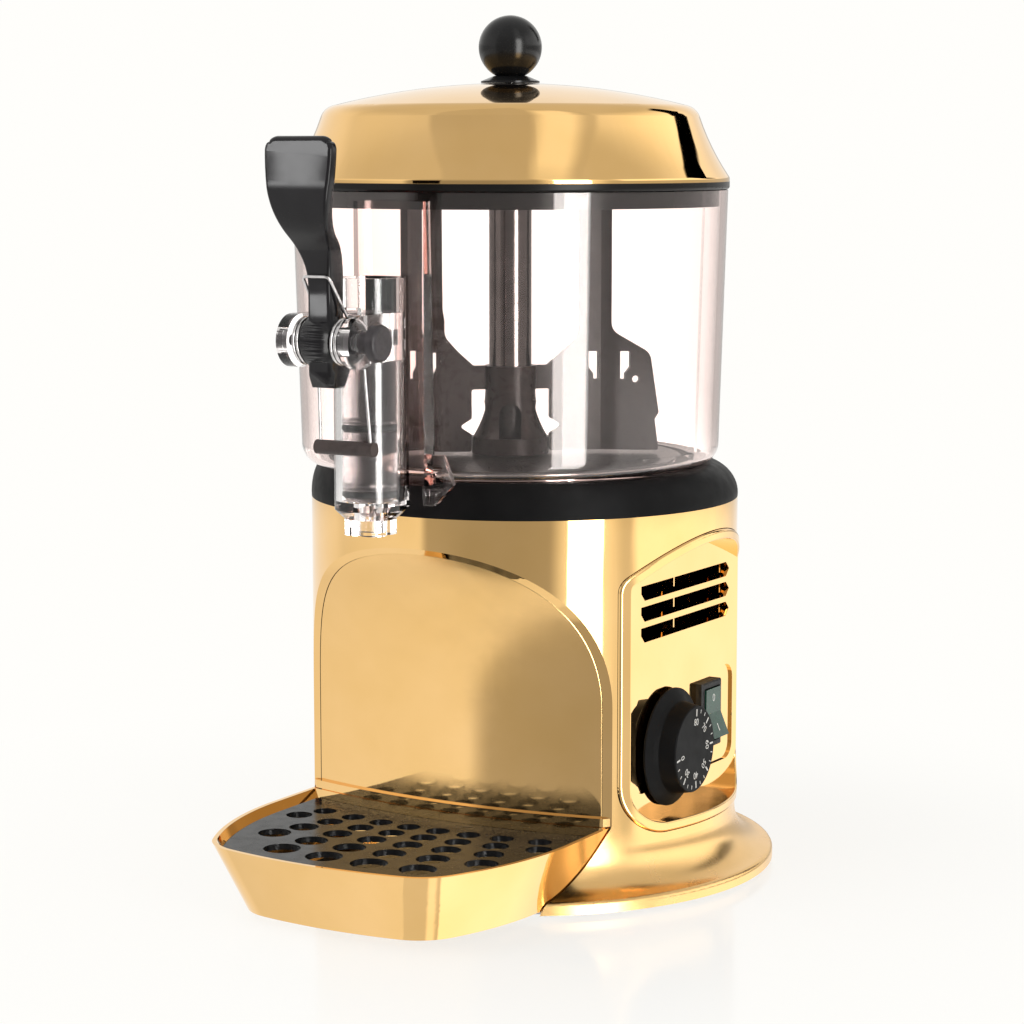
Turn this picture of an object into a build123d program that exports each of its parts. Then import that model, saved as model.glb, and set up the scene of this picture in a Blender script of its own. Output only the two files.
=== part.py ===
from build123d import *
import math
import os

# A three-litre hot drinks dispenser: plated drum, clear bowl with a lever tap, plated lid.
# Millimetres. The drum's axis is upright through the origin, the front is -Y, the table is at 0.

# Clearances
fixed_gap = 0.1           # pieces that are fixed together
slip_gap = 0.3            # pieces that part by hand or stand side by side
running_gap = 0.05        # shafts in their bearings

# Drum with its flared foot
foot_stand = 2.0
body_radius = 110.0
flange_reach = 20.0
shell_wall = 3.0
body_top = 190.7
flange_edge = 6.0
flange_round = 2.4

# Base plate, feet and screws
plate_thickness = 2.0
foot_pad_radius = 9.0
foot_plug_radius = 2.9
foot_inset = 26.0
foot_angles = (45.0, 135.0, 225.0, 315.0)
base_screw_inset = 14.0
base_screw_start = -36.0
base_screw_step = 63.0
base_screw_count = 5
boss_radius = 5.0
boss_height = 16.0
screw_radius = 1.6
screw_depth = 6.0
screw_head_radius = 3.4
screw_head_height = 1.4

# Cup recess: a bowed wall that leans over into a vault
recess_depth = 31.9
recess_wall_radius = 335.1
recess_spring_drop = 92.9
vault_radius = 109.8
vault_reach = 50.0
recess_spread = 24.0
recess_panel_thickness = 2.5
lip_gap = 0.5
lip_height = 4.0
lip_reach = 2.5

# Drip tray and grid
tray_top = 38.5
tray_side_set_in = 23.0
tray_curve_inset = 5.0
tray_reach = 91.2
tray_side_radius = 166.0
tray_front_radius = 249.0
tray_corner_round = 26.0
tray_rear_line = 30.0
tray_taper = 24.2
tray_wall = 2.2
tray_gap = 0.6
grid_drop = 4.5
grid_thickness = 3.0
grid_rear_gap = 0.6
fan_behind = 32.0
fan_step = 7.25
fan_columns = 10
fan_first_gap = 9.1
fan_row_growth = 1.11
fan_rows = 6
fan_row_bow = 600.0
hole_share = 0.71
hole_margin = 3.6

# Control panel on the right side
panel_front_gap = 2.4
panel_low = 32.5
panel_top_drop = 11.7
panel_arch_radius = 111.0
panel_arch_round = 9.0
panel_low_round = 26.0
panel_proud = 1.2
panel_border = 5.0
panel_rear_border = 7.0
panel_edge_round = 1.6
panel_inner_round = 0.8
panel_rim_depth = 23.0
panel_depth = 16.0
panel_floor_thickness = 3.0
vent_count = 3
vent_first_drop = 27.0
vent_pitch = 10.4
vent_inset = 15.0
vent_height = 7.5
vent_slope = 32.0
vent_rib_places = (-8.0, 44.0)
vent_rib_thickness = 1.2
vent_rib_depth = 6.0
vent_rib_margin = 4.0
plate_inset = 10.0
plate_low_rise = 19.5
plate_height = 50.0
plate_sink = 1.2
plate_round = 8.0

# Thermostat with its knob
knob_side = -18.5
knob_rise = 38.3
knob_skirt_radius = 29.6
knob_skirt_height = 3.4
knob_skirt_edge = 0.9
knob_waist_reach = 4.0
knob_waist_round = 1.2
knob_body_reach = 1.8
knob_body_rise = 1.6
knob_face_radius = 21.5
knob_face_round = 0.8
knob_height = 13.6
knob_stand = 2.4
spindle_radius = 3.0
spindle_in_knob = 9.0
spindle_in_body = 9.9
thermostat_bush_radius = 5.0
thermostat_half = 18.0
thermostat_depth = 28.0
thermostat_round = 3.0

# Rocker switch
switch_side = 25.0
switch_rise = 47.0
switch_half_width = 11.0
switch_half_height = 17.2
switch_proud = 4.0
switch_body_depth = 27.0
switch_body_inset = 1.2
switch_edge = 0.8
rocker_half_width = 8.3
rocker_half_height = 12.6
rocker_dip = 4.6
rocker_peak = 7.2
rocker_back = 5.0
rocker_well_depth = 9.0
rocker_well_gap = 1.7
rocker_axis_ahead = 0.2
rocker_tilt = 11.0
rocker_pin_radius = 1.5
rocker_pin_length = 1.0

# Cord gland and terminal block at the rear
gland_height = 44.0
gland_barrel_radius = 7.8
gland_flange_radius = 11.0
gland_flange = 3.0
gland_flange_round = 1.2
gland_inside = 13.0
gland_nut_rear_gap = 1.0
gland_nut_inset = 2.0
gland_bore = 3.6
terminal_width = 46.0
terminal_depth = 22.0
terminal_height = 18.0
terminal_inset = 28.0
terminal_edge = 2.0
terminal_pitch = 14.4
terminal_entry_radius = 3.0

# Collar between drum and bowl: height, inset and forward shift of each ring
collar_rings = [(0.0, 0.0, 0.0), (8.0, 1.0, 1.0), (13.3, 3.7, 3.5), (18.0, 9.5, 9.5)]
collar_hollow = [(0.0, 6.0, 0.0), (7.0, 6.0, 0.5), (13.0, 10.5, 4.5)]
spigot_depth = 6.0
spigot_wall = 3.0
spigot_bite = 0.5

# Heated pan, seal, water tank and heater
bowl_axis = -14.75
collar_shelf = 12.5
pan_wall = 2.0
pan_edge_round = 1.5
pan_rise = 4.0
pan_skirt = 16.0
lug_reach = 13.0
lug_width = 14.0
lug_thickness = 2.0
lug_screw_inset = 5.0
lug_screw_bite = 3.2
lug_angles = (30.0, 90.0, 150.0)
seal_width = 4.8
seal_sink = 3.0
seal_rise = 2.8
seal_edge = 1.2
seal_gap = 0.4
tank_gap = 0.4
tank_wall = 1.6
tank_vault_gap = 3.9
tank_top_gap = 2.7
tank_tube_radius = 14.0
tank_tube_drop = 3.0
heater_ring = 58.0
heater_radius = 3.25
heater_rise = 10.0
heater_gap_angle = 30.0
heater_bend = 9.0
heater_leg = 12.0
cutout_radius = 8.0
cutout_height = 9.0
cutout_place = (45.0, 22.0)
cutout_ear_reach = 12.5
cutout_ear_half = 4.0
cutout_ear_thickness = 1.2
cutout_tab_half_width = 3.0
cutout_tab_half = 0.4
cutout_tab_offset = 4.0
cutout_tab_length = 7.0

# Gear motor and drive
spacer_radius = 4.0
spacer_height = 8.0
spacer_half_span = (31.0, 25.0)
gearbox_size = (76.0, 64.0, 38.0)
gearbox_round = 5.0
motor_radius = 30.0
motor_length = 60.0
motor_round = 3.0
motor_boss_radius = 10.0
motor_boss_height = 4.0
motor_notch_gap = 1.0
motor_notch_depth = 3.0
shaft_radius = 4.0
shaft_in_gearbox = 14.0
shaft_hex = 7.0
shaft_hex_length = 11.0
column_bore = 6.2
column_height = 117.3
column_tail = 14.0
bush_length = 10.0

# Stirrer
stirrer_tube_radius = 10.8
stirrer_tube_wall = 1.6
stirrer_tube_round = 0.6
stirrer_tube_tail = 6.0
stirrer_top_rise = 135.3
cap_length = 14.0
cap_socket = 10.5
socket_gap = 0.2
ring_wall = 2.4
ring_low_rise = 33.3
ring_height = 12.0
bell_low_rise = 0.6
bell_flare = 6.4
bell_top_inset = 0.4
bell_foot_height = 8.5
bell_wall = 2.2
bell_windows = 4
bell_window_turn = -10.0
bell_window_radius = 5.6
bell_window_height = 12.0
blade_thickness = 3.6
blade_bend_radius = 47.0
blade_bend = -18.0
blade_turn = 40.0
blade_low_rise = 1.6
blade_gap = 18.2
blade_arm_top_rise = 125.3
blade_arm_inner = 35.5
blade_arm_outer = 52.0
blade_neck = 19.0
blade_neck_rise = 26.8
blade_shoulder_high = 29.5
blade_shoulder_low = 18.2
blade_tip_lean = 4.3
blade_notch_rise = 15.9
blade_notch_depth = 2.0
blade_notch_height = 3.5
blade_bell_gap = 0.6
blade_bay_depth = 6.3
blade_bay_rise = 12.8
blade_bay_half = 4.0
blade_round = 1.2
blade_shoulder_round = 7.0
keyhole_places = ((42.9, -1), (58.8, 1))
keyhole_rise = 4.5
keyhole_half_width = 2.5
keyhole_neck_width = 2.5
keyhole_neck_height = 2.8
keyhole_taper = 3.4
keyhole_head_height = 8.1
blade_hole_radius = 1.8
blade_hole_place = 64.0
blade_hole_rise = 4.6

# Clear bowl
bowl_height = 138.0
bowl_overhang = 5.5
bowl_flare = 4.0
bowl_corner = 10.0
bowl_wall = 3.5
bowl_floor = 3.0
pad_half_width = 19.5
pad_reach = 4.25
pad_top_gap = 4.0
tab_width = 11.0
tab_drop = 10.6
tab_heel_drop = 6.0
tab_thickness = 3.0
tab_set_back = 8.0
tab_rise = 14.0
tab_root = 2.0
tab_tip_width = 6.0
tab_tip_offset = 0.5
port_radius = 6.0
port_rise = 11.0

# Lever tap
tap_sink = 0.5
tube_bore = 13.5
tube_wall = 3.5
tube_rise = 99.0
tube_floor_drop = 6.0
tube_floor = 4.0
web_half_width = 11.0
spout_tip_drop = 22.0
spout_shoulder = 4.5
spout_lobe = 6.4
spout_lobe_offset = 6.1
outlet_radius = 5.5
pivot_reach = 18.7
pivot_rise = 71.2
ear_radius = 12.3
ear_inner = 13.8
ear_thickness = 6.0
arm_below = 10.0
arm_above = 12.3
pin_radius = 4.0
pin_neck_radius = 5.2
pin_neck_length = 6.2
pin_head_radius = 8.65
pin_head_height = 5.0
pin_head_round = 2.2
pin_tip_radius = 2.6
pin_tip_length = 2.7

# Lever: an S-bent bar with a paddle on top and a tail that lifts the piston
lever_front = 6.7
lever_back = 5.7
lever_half_width = 6.2
lever_bend_low = 26.0
lever_bend_high = 70.0
lever_bend_throw = 16.7
lever_waist_drop = 2.0
lever_mid_half_width = 13.2
lever_mid_rise = 54.0
paddle_thickness = 6.2
paddle_lean = 1.2
paddle_straight = 20.0
paddle_half_width = 18.4
paddle_corner = 7.0
lever_edge_round = 1.8
lever_hub_radius = 11.7
lever_hub_half = 7.0
lever_boss_radius = 8.6
lever_boss_gap = 0.5
lever_foot_drop = 21.2
lever_foot_front = 2.8
lever_foot_back = 5.2
lever_heel_back = 10.2
lever_heel_drop = 13.0
tail_half_width = 3.5
tail_thickness = 5.0
tail_end_radius = 3.2
tail_slot_margin = 0.7
tail_slot_room = 1.5
lever_swing = 25.0
notch_gap = 0.4
notch_rear_gap = 1.0
notch_spare_swing = 3.0

# Double torsion spring of the lever
wire_radius = 0.75
coil_radius = 10.5
coil_pitch = 2.05
coil_turns = 2
coil_inner = 8.1
wire_bend = 2.4
bail_ahead = 8.5
bail_rise = 29.8
sleeve_radius = 3.4
sleeve_half = 16.0
sleeve_drop = 50.6
wire_end = 2.5
gap_samples = 1500

# Piston with two sealing rings
piston_gap = 0.3
piston_low = 4.0
piston_top_gap = 16.0
piston_nose = 2.5
seal_ring_radius = 1.7
seal_ring_rises = (7.7, 39.0)
seal_groove_height = 3.8

# Lid with its knob
lid_wall = 2.5
lid_over = 0.7
lid_edge = 6.0
lid_shoulder_radius = 94.0
lid_shoulder_rise = 40.6
lid_shoulder_round = 9.0
lid_edge_round = 1.8
lid_skirt_hollow = 1.5
lid_wall_lean = 0.7
lid_ledge = 1.0
lid_top_rise = 53.0
lid_plug_gap = 1.0
lid_plug_depth = 8.0
washer_radius = 14.8
washer_height = 3.6
washer_edge = 1.0
washer_seat_radius = 8.4
ball_radius = 15.9
ball_rise = 17.8
lid_screw_radius = 2.4
lid_screw_head = 5.0
lid_screw_head_height = 2.6
lid_screw_depth = 12.0

# Places worked out from the sizes above
base_radius = body_radius + flange_reach
inner_radius = body_radius - shell_wall
flare_top = foot_stand + flange_edge + flange_reach
foot_circle = base_radius - foot_inset
base_screw_circle = base_radius - base_screw_inset
plate_top = foot_stand + plate_thickness
recess_axis = recess_depth - body_radius + recess_wall_radius
recess_spring = body_top - recess_spring_drop
tray_low = plate_top + slip_gap
recess_edge_y = (body_radius ** 2 - recess_wall_radius ** 2 + recess_axis ** 2) / (2 * recess_axis)
tray_half_width = body_radius - tray_side_set_in
tray_front = body_radius + tray_reach
tray_curve_start = body_radius - tray_curve_inset
fan_first_row = fan_behind + body_radius - recess_depth + fan_first_gap
grid_top = tray_top - grid_drop
lip_low = tray_top + lip_gap
panel_half_width = -recess_edge_y - panel_front_gap
panel_rim_back = body_radius - panel_rim_depth
panel_floor = body_radius - panel_depth
panel_top = body_top - panel_top_drop
vent_half_length = panel_half_width - vent_inset
plate_half_width = panel_half_width - plate_inset
plate_floor = panel_floor - plate_sink
knob_height_z = panel_low + knob_rise
knob_back = plate_floor + knob_stand
switch_height_z = panel_low + switch_rise
rocker_axis_x = plate_floor + rocker_axis_ahead
terminal_rear = body_radius - terminal_inset
collar_top = body_top + collar_rings[-1][0]
collar_ceiling = body_top + collar_hollow[-1][0]
collar_top_radius = body_radius - collar_rings[-1][1]
pan_radius = collar_top_radius - collar_shelf
seal_outer = pan_radius + slip_gap + seal_width
tank_radius = pan_radius - pan_wall - tank_gap
pan_top = collar_top + pan_rise
tank_top = pan_top - pan_wall - tank_top_gap
vault_back_radius = vault_radius + recess_panel_thickness
vault_to_tank = recess_wall_radius + vault_radius - (recess_axis - bowl_axis + tank_radius)
tank_low = recess_spring + math.sqrt(vault_back_radius ** 2 - vault_to_tank ** 2) + tank_vault_gap
gearbox_top = tank_low - spacer_height
gearbox_low = gearbox_top - gearbox_size[2]
stirrer_tube_bore = stirrer_tube_radius - stirrer_tube_wall
column_radius = stirrer_tube_bore - slip_gap
column_top = pan_top + column_height
stirrer_top = pan_top + stirrer_top_rise
ring_radius = stirrer_tube_radius + ring_wall
bell_foot_radius = ring_radius + bell_flare
blade_inner_edge = bell_foot_radius + blade_bell_gap
bowl_seat = collar_top + slip_gap
bowl_top = bowl_seat + bowl_height
bowl_foot_radius = collar_top_radius + bowl_overhang
bowl_top_radius = bowl_foot_radius + bowl_flare
bowl_opening = seal_outer + seal_gap
blade_tip_radius = bowl_opening - blade_gap
pad_face = bowl_axis - bowl_top_radius - pad_reach
tube_radius = tube_bore + tube_wall
tap_axis = pad_face - tube_radius + tap_sink
pivot_ahead = tube_radius + pivot_reach
pivot_y = tap_axis - pivot_ahead
pivot_z = bowl_seat + pivot_rise
tube_top = bowl_seat + tube_rise
tube_floor_top = bowl_seat - tube_floor_drop
port_z = bowl_seat + port_rise
ear_outer = ear_inner + ear_thickness
lid_low = bowl_top + fixed_gap
lid_top = lid_low + lid_top_rise


def closed(*curves):
    """A face inside curves that meet end to end."""
    return make_face([edge for curve in curves for edge in curve.edges()])


def turned(*curves, axis_y=0.0):
    """A turned piece on the upright axis at axis_y, from an outline in radius and height."""
    return Pos(0, axis_y, 0) * revolve(Plane.XZ * closed(*curves), Axis.Z)


def turned_sideways(*curves, y, z):
    """A turned piece on an axis along X, from an outline in X and radius."""
    return Pos(0, y, z) * revolve(closed(*curves), Axis.X)


def post(radius, low, high, x=0.0, y=0.0):
    """An upright cylinder."""
    upright = (Align.CENTER, Align.CENTER, Align.MIN)
    return Pos(x, y, low) * Cylinder(radius, high - low, align=upright)


def cross_bar(radius, left, right, y, z):
    """A cylinder along X."""
    return Pos(left, y, z) * Rot(0, 90, 0) * post(radius, 0, right - left)


def front_bar(radius, front, rear, x, z):
    """A cylinder along Y."""
    return Pos(x, front, z) * Rot(-90, 0, 0) * post(radius, 0, rear - front)


def block(x, y, z):
    """A box between pairs of limits."""
    centre = Pos((x[0] + x[1]) / 2, (y[0] + y[1]) / 2, (z[0] + z[1]) / 2)
    return centre * Box(x[1] - x[0], y[1] - y[0], z[1] - z[0])


def around(radius, angle, centre_y=0.0):
    """The plan point at a radius and an angle about an upright axis."""
    turn = math.radians(angle)
    return radius * math.cos(turn), centre_y + radius * math.sin(turn)


def drum_form(inset):
    """The drum and its flared foot as one solid, inset evenly from the outer face."""
    turn = math.degrees(math.acos(inset / (flange_reach + inset)))
    flare = CenterArc((base_radius, flare_top), flange_reach + inset, 180, turn)
    rest = Polyline(
        flare @ 1,
        (base_radius - inset, foot_stand),
        (0, foot_stand),
        (0, body_top),
        (body_radius - inset, body_top),
        flare @ 0,
    )
    return turned(flare, rest)


def recess_sweep(*curves):
    """A form swept about the far axis of the bowed recess wall."""
    whole = revolve(Plane.XZ * closed(*curves), Axis.Z, revolution_arc=2 * recess_spread)
    return Pos(0, recess_axis, 0) * Rot(0, 0, -90 - recess_spread) * whole


def vault_line(behind, low):
    """Upright wall and vault in one line, set behind the visible face."""
    radius = vault_radius + behind
    turn = math.degrees(math.acos((vault_radius - vault_reach) / radius))
    centre = (recess_wall_radius + vault_radius, recess_spring)
    vault = CenterArc(centre, radius, 180, -turn)
    wall = Line((recess_wall_radius - behind, low), vault @ 0)
    return wall, vault


def recess_void():
    """The space of the cup recess above the tray."""
    wall, vault = vault_line(0.0, lip_low)
    front = recess_wall_radius + vault_reach
    rest = Polyline(vault @ 1, (front, lip_low), wall @ 0)
    return recess_sweep(wall, vault, rest)


def recess_core(proud):
    """Everything behind the bowed wall's face, as an upright cylinder."""
    return post(recess_wall_radius + proud, 0, body_top, y=recess_axis)


def cup_recess_panel():
    wall, vault = vault_line(0.0, tray_low)
    back_wall, back_vault = vault_line(recess_panel_thickness, tray_low)
    skin = recess_sweep(wall, vault, back_wall, back_vault, Line(wall @ 0, back_wall @ 0),
                        Line(vault @ 1, back_vault @ 1))
    skin &= post(inner_radius - slip_gap, tray_low, body_top)
    return skin + lip(-fixed_gap, inner_radius - slip_gap) + lip(slip_gap, body_radius - slip_gap)


def lip(rear, reach):
    """The lip over the tray's rear edge, between the wall's face and its own front, out to a radius."""
    front = recess_wall_radius + lip_reach
    high = lip_low + lip_height
    rear_radius = recess_wall_radius + rear
    band = recess_sweep(Polyline((rear_radius, lip_low), (front, lip_low), (front, high), (rear_radius, high),
                                 close=True))
    return band & post(reach, lip_low, body_top)


def circles_meet(centre_one, radius_one, centre_two, radius_two):
    """The front meeting point of two circles."""
    between = centre_two - centre_one
    apart = between.length
    along = (radius_one ** 2 - radius_two ** 2 + apart ** 2) / (2 * apart)
    aside = math.sqrt(radius_one ** 2 - along ** 2)
    way = between.normalized()
    middle = centre_one + way * along
    square = Vector(way.Y, -way.X)
    return min(middle + square * aside, middle - square * aside, key=lambda point: point.Y)


def tray_plan(grow):
    """Plan of the drip tray's rim, grown or shrunk evenly."""
    half = tray_half_width + grow
    side_centre = Vector(tray_half_width - tray_side_radius, -tray_curve_start)
    front_centre = Vector(0, tray_front_radius - tray_front)
    corner = circles_meet(side_centre, tray_side_radius + grow, front_centre, tray_front_radius + grow)
    curve_start = (half, -tray_curve_start)
    right = TangentArc(curve_start, corner, tangent=(0, -1))
    front = ThreePointArc(corner, (0, -tray_front - grow), (-corner.X, corner.Y))
    back = Polyline(curve_start, (half, -tray_rear_line), (-half, -tray_rear_line),
                    (-half, -tray_curve_start))
    plan = closed(right, front, mirror(right, about=Plane.YZ), back)
    corners = plan.vertices().filter_by(lambda vertex: vertex.Y < corner.Y + 1)
    return fillet(corners, tray_corner_round)


def tray_form(grow, top, depth):
    """The tray's drawn-in form from a height downwards; grow is taken at the rim's height."""
    faces = []
    for height in (top, top - depth):
        inset = (tray_top - height) * math.tan(math.radians(tray_taper))
        faces.append(Pos(0, 0, height) * tray_plan(grow - inset))
    return loft(faces, ruled=True)


def drip_tray():
    depth = tray_top - tray_low
    outer = tray_form(0.0, tray_top, depth) - recess_core(tray_gap)
    hollow = tray_form(-tray_wall, tray_top, depth - tray_wall) - recess_core(tray_gap + tray_wall)
    return outer - hollow


def drip_grid():
    edge = -tray_wall - slip_gap
    grid = tray_form(edge, grid_top, grid_thickness)
    grid -= recess_core(tray_gap + tray_wall + grid_rear_gap)
    inset = (tray_top - grid_top + grid_thickness) * math.tan(math.radians(tray_taper))
    rear_limit = recess_wall_radius + tray_gap + tray_wall + grid_rear_gap
    for row in range(fan_rows):
        reach = fan_first_row * fan_row_growth ** row
        pitch = reach * math.tan(math.radians(fan_step))
        hole_radius = hole_share * pitch / 2
        room = tray_plan(edge - inset - hole_radius - hole_margin).face()
        for column in range(fan_columns):
            angle = (column - (fan_columns - 1) / 2) * fan_step
            x = reach * math.tan(math.radians(angle))
            y = fan_behind - reach + x * x / fan_row_bow
            from_axis = math.hypot(x, y - recess_axis)
            if from_axis > rear_limit + hole_radius + hole_margin and room.is_inside((x, y, 0)):
                grid -= post(hole_radius, grid_top - 2 * grid_thickness, tray_top, x, y)
    return grid


def panel_outline(grow):
    """The arched outline of the control panel, in Y and height."""
    half = panel_half_width
    spring = panel_top - panel_arch_radius + math.sqrt(panel_arch_radius ** 2 - half ** 2)
    arch = ThreePointArc((-half, spring), (0, panel_top), (half, spring))
    rest = Polyline((half, spring), (half, panel_low), (-half, panel_low), (-half, spring))
    outline = closed(arch, rest)
    outline = fillet(outline.vertices().filter_by(lambda vertex: vertex.Y > panel_low + 1), panel_arch_round)
    outline = fillet(outline.vertices().filter_by(lambda vertex: vertex.Y < panel_low + 1), panel_low_round)
    return offset(outline, grow) if grow else outline


def side_prism(face, inner, outer):
    """A face drawn in Y and height, pushed along X between two limits."""
    return extrude(Pos(inner, 0, 0) * (Plane.YZ * face), outer - inner)


def lies_at(edge, radius):
    """Whether an edge lies at a radius from the drum's axis, ends and middle."""
    points = [edge @ part for part in (0, 0.5, 1)]
    return all(abs(math.hypot(point.X, point.Y) - radius) < running_gap for point in points)


def vent_place(index):
    """Height of a vent slot at the panel's face."""
    return panel_top - vent_first_drop - index * vent_pitch


def vent_cut(height):
    """A vent slot through the panel's floor that climbs inwards."""
    climb = math.tan(math.radians(vent_slope))
    front = panel_floor + panel_floor_thickness
    start = Pos(front, 0, height - panel_floor_thickness * climb) * (Plane.YZ * vent_outline())
    return extrude(start, 3 * panel_floor_thickness / math.cos(math.radians(vent_slope)), dir=(-1, 0, climb))


def vent_outline():
    """One vent slot, pointed at its rear end and with a cut lower front corner."""
    half = vent_height / 2
    straight = vent_half_length - half
    return make_face(Polyline(
        (-vent_half_length, half),
        (straight, half),
        (vent_half_length, 0),
        (straight, -half),
        (-straight, -half),
        (-vent_half_length, 0),
        close=True,
    ).edges())


def control_panel():
    out = 2 * body_radius
    face_radius = body_radius + panel_proud
    panel = side_prism(panel_outline(0.0), panel_rim_back, out)
    panel &= post(face_radius, 0, body_top)
    panel = fillet(panel.edges().filter_by(lambda edge: lies_at(edge, face_radius)), panel_edge_round)
    panel -= side_prism(panel_outline(-panel_border), panel_floor, out)
    panel = fillet(panel.edges().filter_by(lambda edge: lies_at(edge, face_radius)
                                           and edge.center().Z < panel_top), panel_inner_round)
    panel -= side_prism(panel_outline(-panel_rear_border), 0, panel_floor - panel_floor_thickness)
    plate_z = panel_low + plate_low_rise + plate_height / 2
    plate = RectangleRounded(2 * plate_half_width, plate_height, plate_round)
    panel -= side_prism(Pos(0, plate_z) * plate, plate_floor, out)
    for vent in range(vent_count):
        panel -= vent_cut(vent_place(vent))
    rib_back = panel_floor - panel_floor_thickness
    for y in vent_rib_places:
        panel += block((rib_back - vent_rib_depth, rib_back),
                       (y - vent_rib_thickness / 2, y + vent_rib_thickness / 2),
                       (vent_place(vent_count - 1) - vent_rib_margin, vent_place(0) + 2 * vent_rib_margin))
    panel -= cross_bar(thermostat_bush_radius + fixed_gap, 0, out, knob_side, knob_height_z)
    return panel - side_prism(switch_rectangle(switch_body_inset - slip_gap), 0, out)


def base_screw_places():
    """Plan points of the screws that hold the base plate."""
    angles = [base_screw_start + step * base_screw_step for step in range(base_screw_count)]
    return [around(base_screw_circle, angle) for angle in angles]


def body_shell():
    outer = drum_form(0.0)
    rim = outer.edges().filter_by(GeomType.CIRCLE)
    rim = rim.filter_by(lambda edge: edge.radius > base_radius - 1 and edge.center().Z > foot_stand + 1)
    outer = fillet(rim, flange_round)
    shell = outer - drum_form(shell_wall)
    for x, y in base_screw_places():
        shell += post(boss_radius, plate_top, boss_height, x, y) & outer
        shell -= post(screw_radius + fixed_gap, 0, plate_top + screw_depth, x, y)
    shell -= recess_void()
    bay = tray_form(tray_gap, tray_top, tray_top - foot_stand)
    rim_bay = extrude(Pos(0, 0, tray_top) * tray_plan(tray_gap), lip_low - tray_top + fixed_gap)
    shell -= bay + rim_bay - recess_core(-recess_panel_thickness - slip_gap)
    shell -= side_prism(panel_outline(slip_gap), panel_rim_back / 2, 2 * body_radius)
    return shell - front_bar(gland_barrel_radius + fixed_gap, 0, 2 * body_radius, 0, gland_height)


def base_plate():
    plate = post(base_radius - shell_wall - slip_gap, foot_stand, plate_top)
    for x, y in base_screw_places():
        plate -= post(screw_radius + fixed_gap, 0, plate_top, x, y)
    for x, y in foot_places():
        plate -= post(foot_plug_radius + fixed_gap, 0, plate_top, x, y)
    return plate


def foot_places():
    """Plan points of the rubber feet."""
    return [around(foot_circle, angle) for angle in foot_angles]


def rubber_feet():
    feet = []
    for x, y in foot_places():
        pad = post(foot_pad_radius, 0, foot_stand, x, y)
        feet.append(pad + post(foot_plug_radius, foot_stand, plate_top - fixed_gap, x, y))
    return Compound(feet)


def base_screws():
    screws = []
    for x, y in base_screw_places():
        head = post(screw_head_radius, foot_stand - screw_head_height, foot_stand, x, y)
        screws.append(head + post(screw_radius, foot_stand, plate_top + screw_depth - fixed_gap, x, y))
    return Compound(screws)


def ring_loft(rings):
    """A loft through eccentric rings above the drum."""
    faces = []
    for height, inset, shift in rings:
        faces.append(Pos(0, -shift, body_top + height) * Circle(body_radius - inset))
    return loft(faces)


def lug_screw_places():
    """Plan points of the screws that hold the pan under the collar."""
    return [around(pan_radius + lug_reach - lug_screw_inset, angle, bowl_axis) for angle in lug_angles]


def top_collar():
    collar = ring_loft(collar_rings) - ring_loft(collar_hollow)
    spigot_radius = inner_radius - slip_gap
    spigot = post(spigot_radius, body_top - spigot_depth, body_top + spigot_bite)
    collar += spigot - post(spigot_radius - spigot_wall, 0, 2 * body_top)
    collar -= post(pan_radius + slip_gap, body_top, 2 * body_top, y=bowl_axis)
    collar -= post(seal_outer + fixed_gap, collar_top - seal_sink, 2 * body_top, y=bowl_axis)
    for x, y in lug_screw_places():
        collar -= post(screw_radius + fixed_gap, body_top, collar_ceiling + lug_screw_bite + slip_gap, x, y)
    return collar


def bowl_seal():
    seal = post(seal_outer, collar_top - seal_sink, collar_top + seal_rise, y=bowl_axis)
    seal = chamfer(seal.edges().group_by(Axis.Z)[-1], seal_edge)
    return seal - post(pan_radius + fixed_gap, 0, 2 * body_top, y=bowl_axis)


def heated_pan():
    pan = post(pan_radius, pan_top - pan_skirt, pan_top, y=bowl_axis)
    pan = fillet(pan.edges().group_by(Axis.Z)[-1], pan_edge_round)
    pan -= post(pan_radius - pan_wall, 0, pan_top - pan_wall, y=bowl_axis)
    pan += post(column_radius, pan_top - column_tail, column_top, y=bowl_axis)
    lug_top = collar_ceiling
    for angle in lug_angles:
        arm = block((pan_radius - pan_wall, pan_radius + lug_reach), (-lug_width / 2, lug_width / 2),
                    (lug_top - lug_thickness, lug_top))
        pan += Pos(0, bowl_axis, 0) * Rot(0, 0, angle) * arm
    for x, y in lug_screw_places():
        pan -= post(screw_radius + fixed_gap, 0, collar_top, x, y)
    return pan - post(column_bore, 0, 2 * column_top, y=bowl_axis)


def pan_screws():
    screws = []
    low = collar_ceiling - lug_thickness
    for x, y in lug_screw_places():
        head = post(screw_head_radius, low - screw_head_height, low, x, y)
        screws.append(head + post(screw_radius, low, collar_ceiling + lug_screw_bite, x, y))
    return Compound(screws)


def heater_path():
    """Heater centre line: leg, bend, nearly a full ring, bend, leg."""
    ring_z = tank_low + heater_rise
    first = 90 + heater_gap_angle / 2
    ring = Pos(0, bowl_axis, ring_z) * CenterArc((0, 0), heater_ring, first, 360 - heater_gap_angle)
    down = Vector(0, 0, -1)
    start_turn = (ring % 0) * -heater_bend + down * heater_bend
    end_turn = (ring % 1) * heater_bend + down * heater_bend
    leg_low = tank_low - heater_leg
    start = ring @ 0 + start_turn
    end = ring @ 1 + end_turn
    return Wire([
        Line((start.X, start.Y, leg_low), start),
        TangentArc(start, ring @ 0, tangent=(0, 0, 1)),
        ring.edge(),
        TangentArc(ring @ 1, end, tangent=ring % 1),
        Line(end, (end.X, end.Y, leg_low)),
    ])


def heating_element():
    path = heater_path()
    return sweep(Plane(origin=path @ 0, z_dir=(0, 0, 1)) * Circle(heater_radius), path=path)


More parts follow.
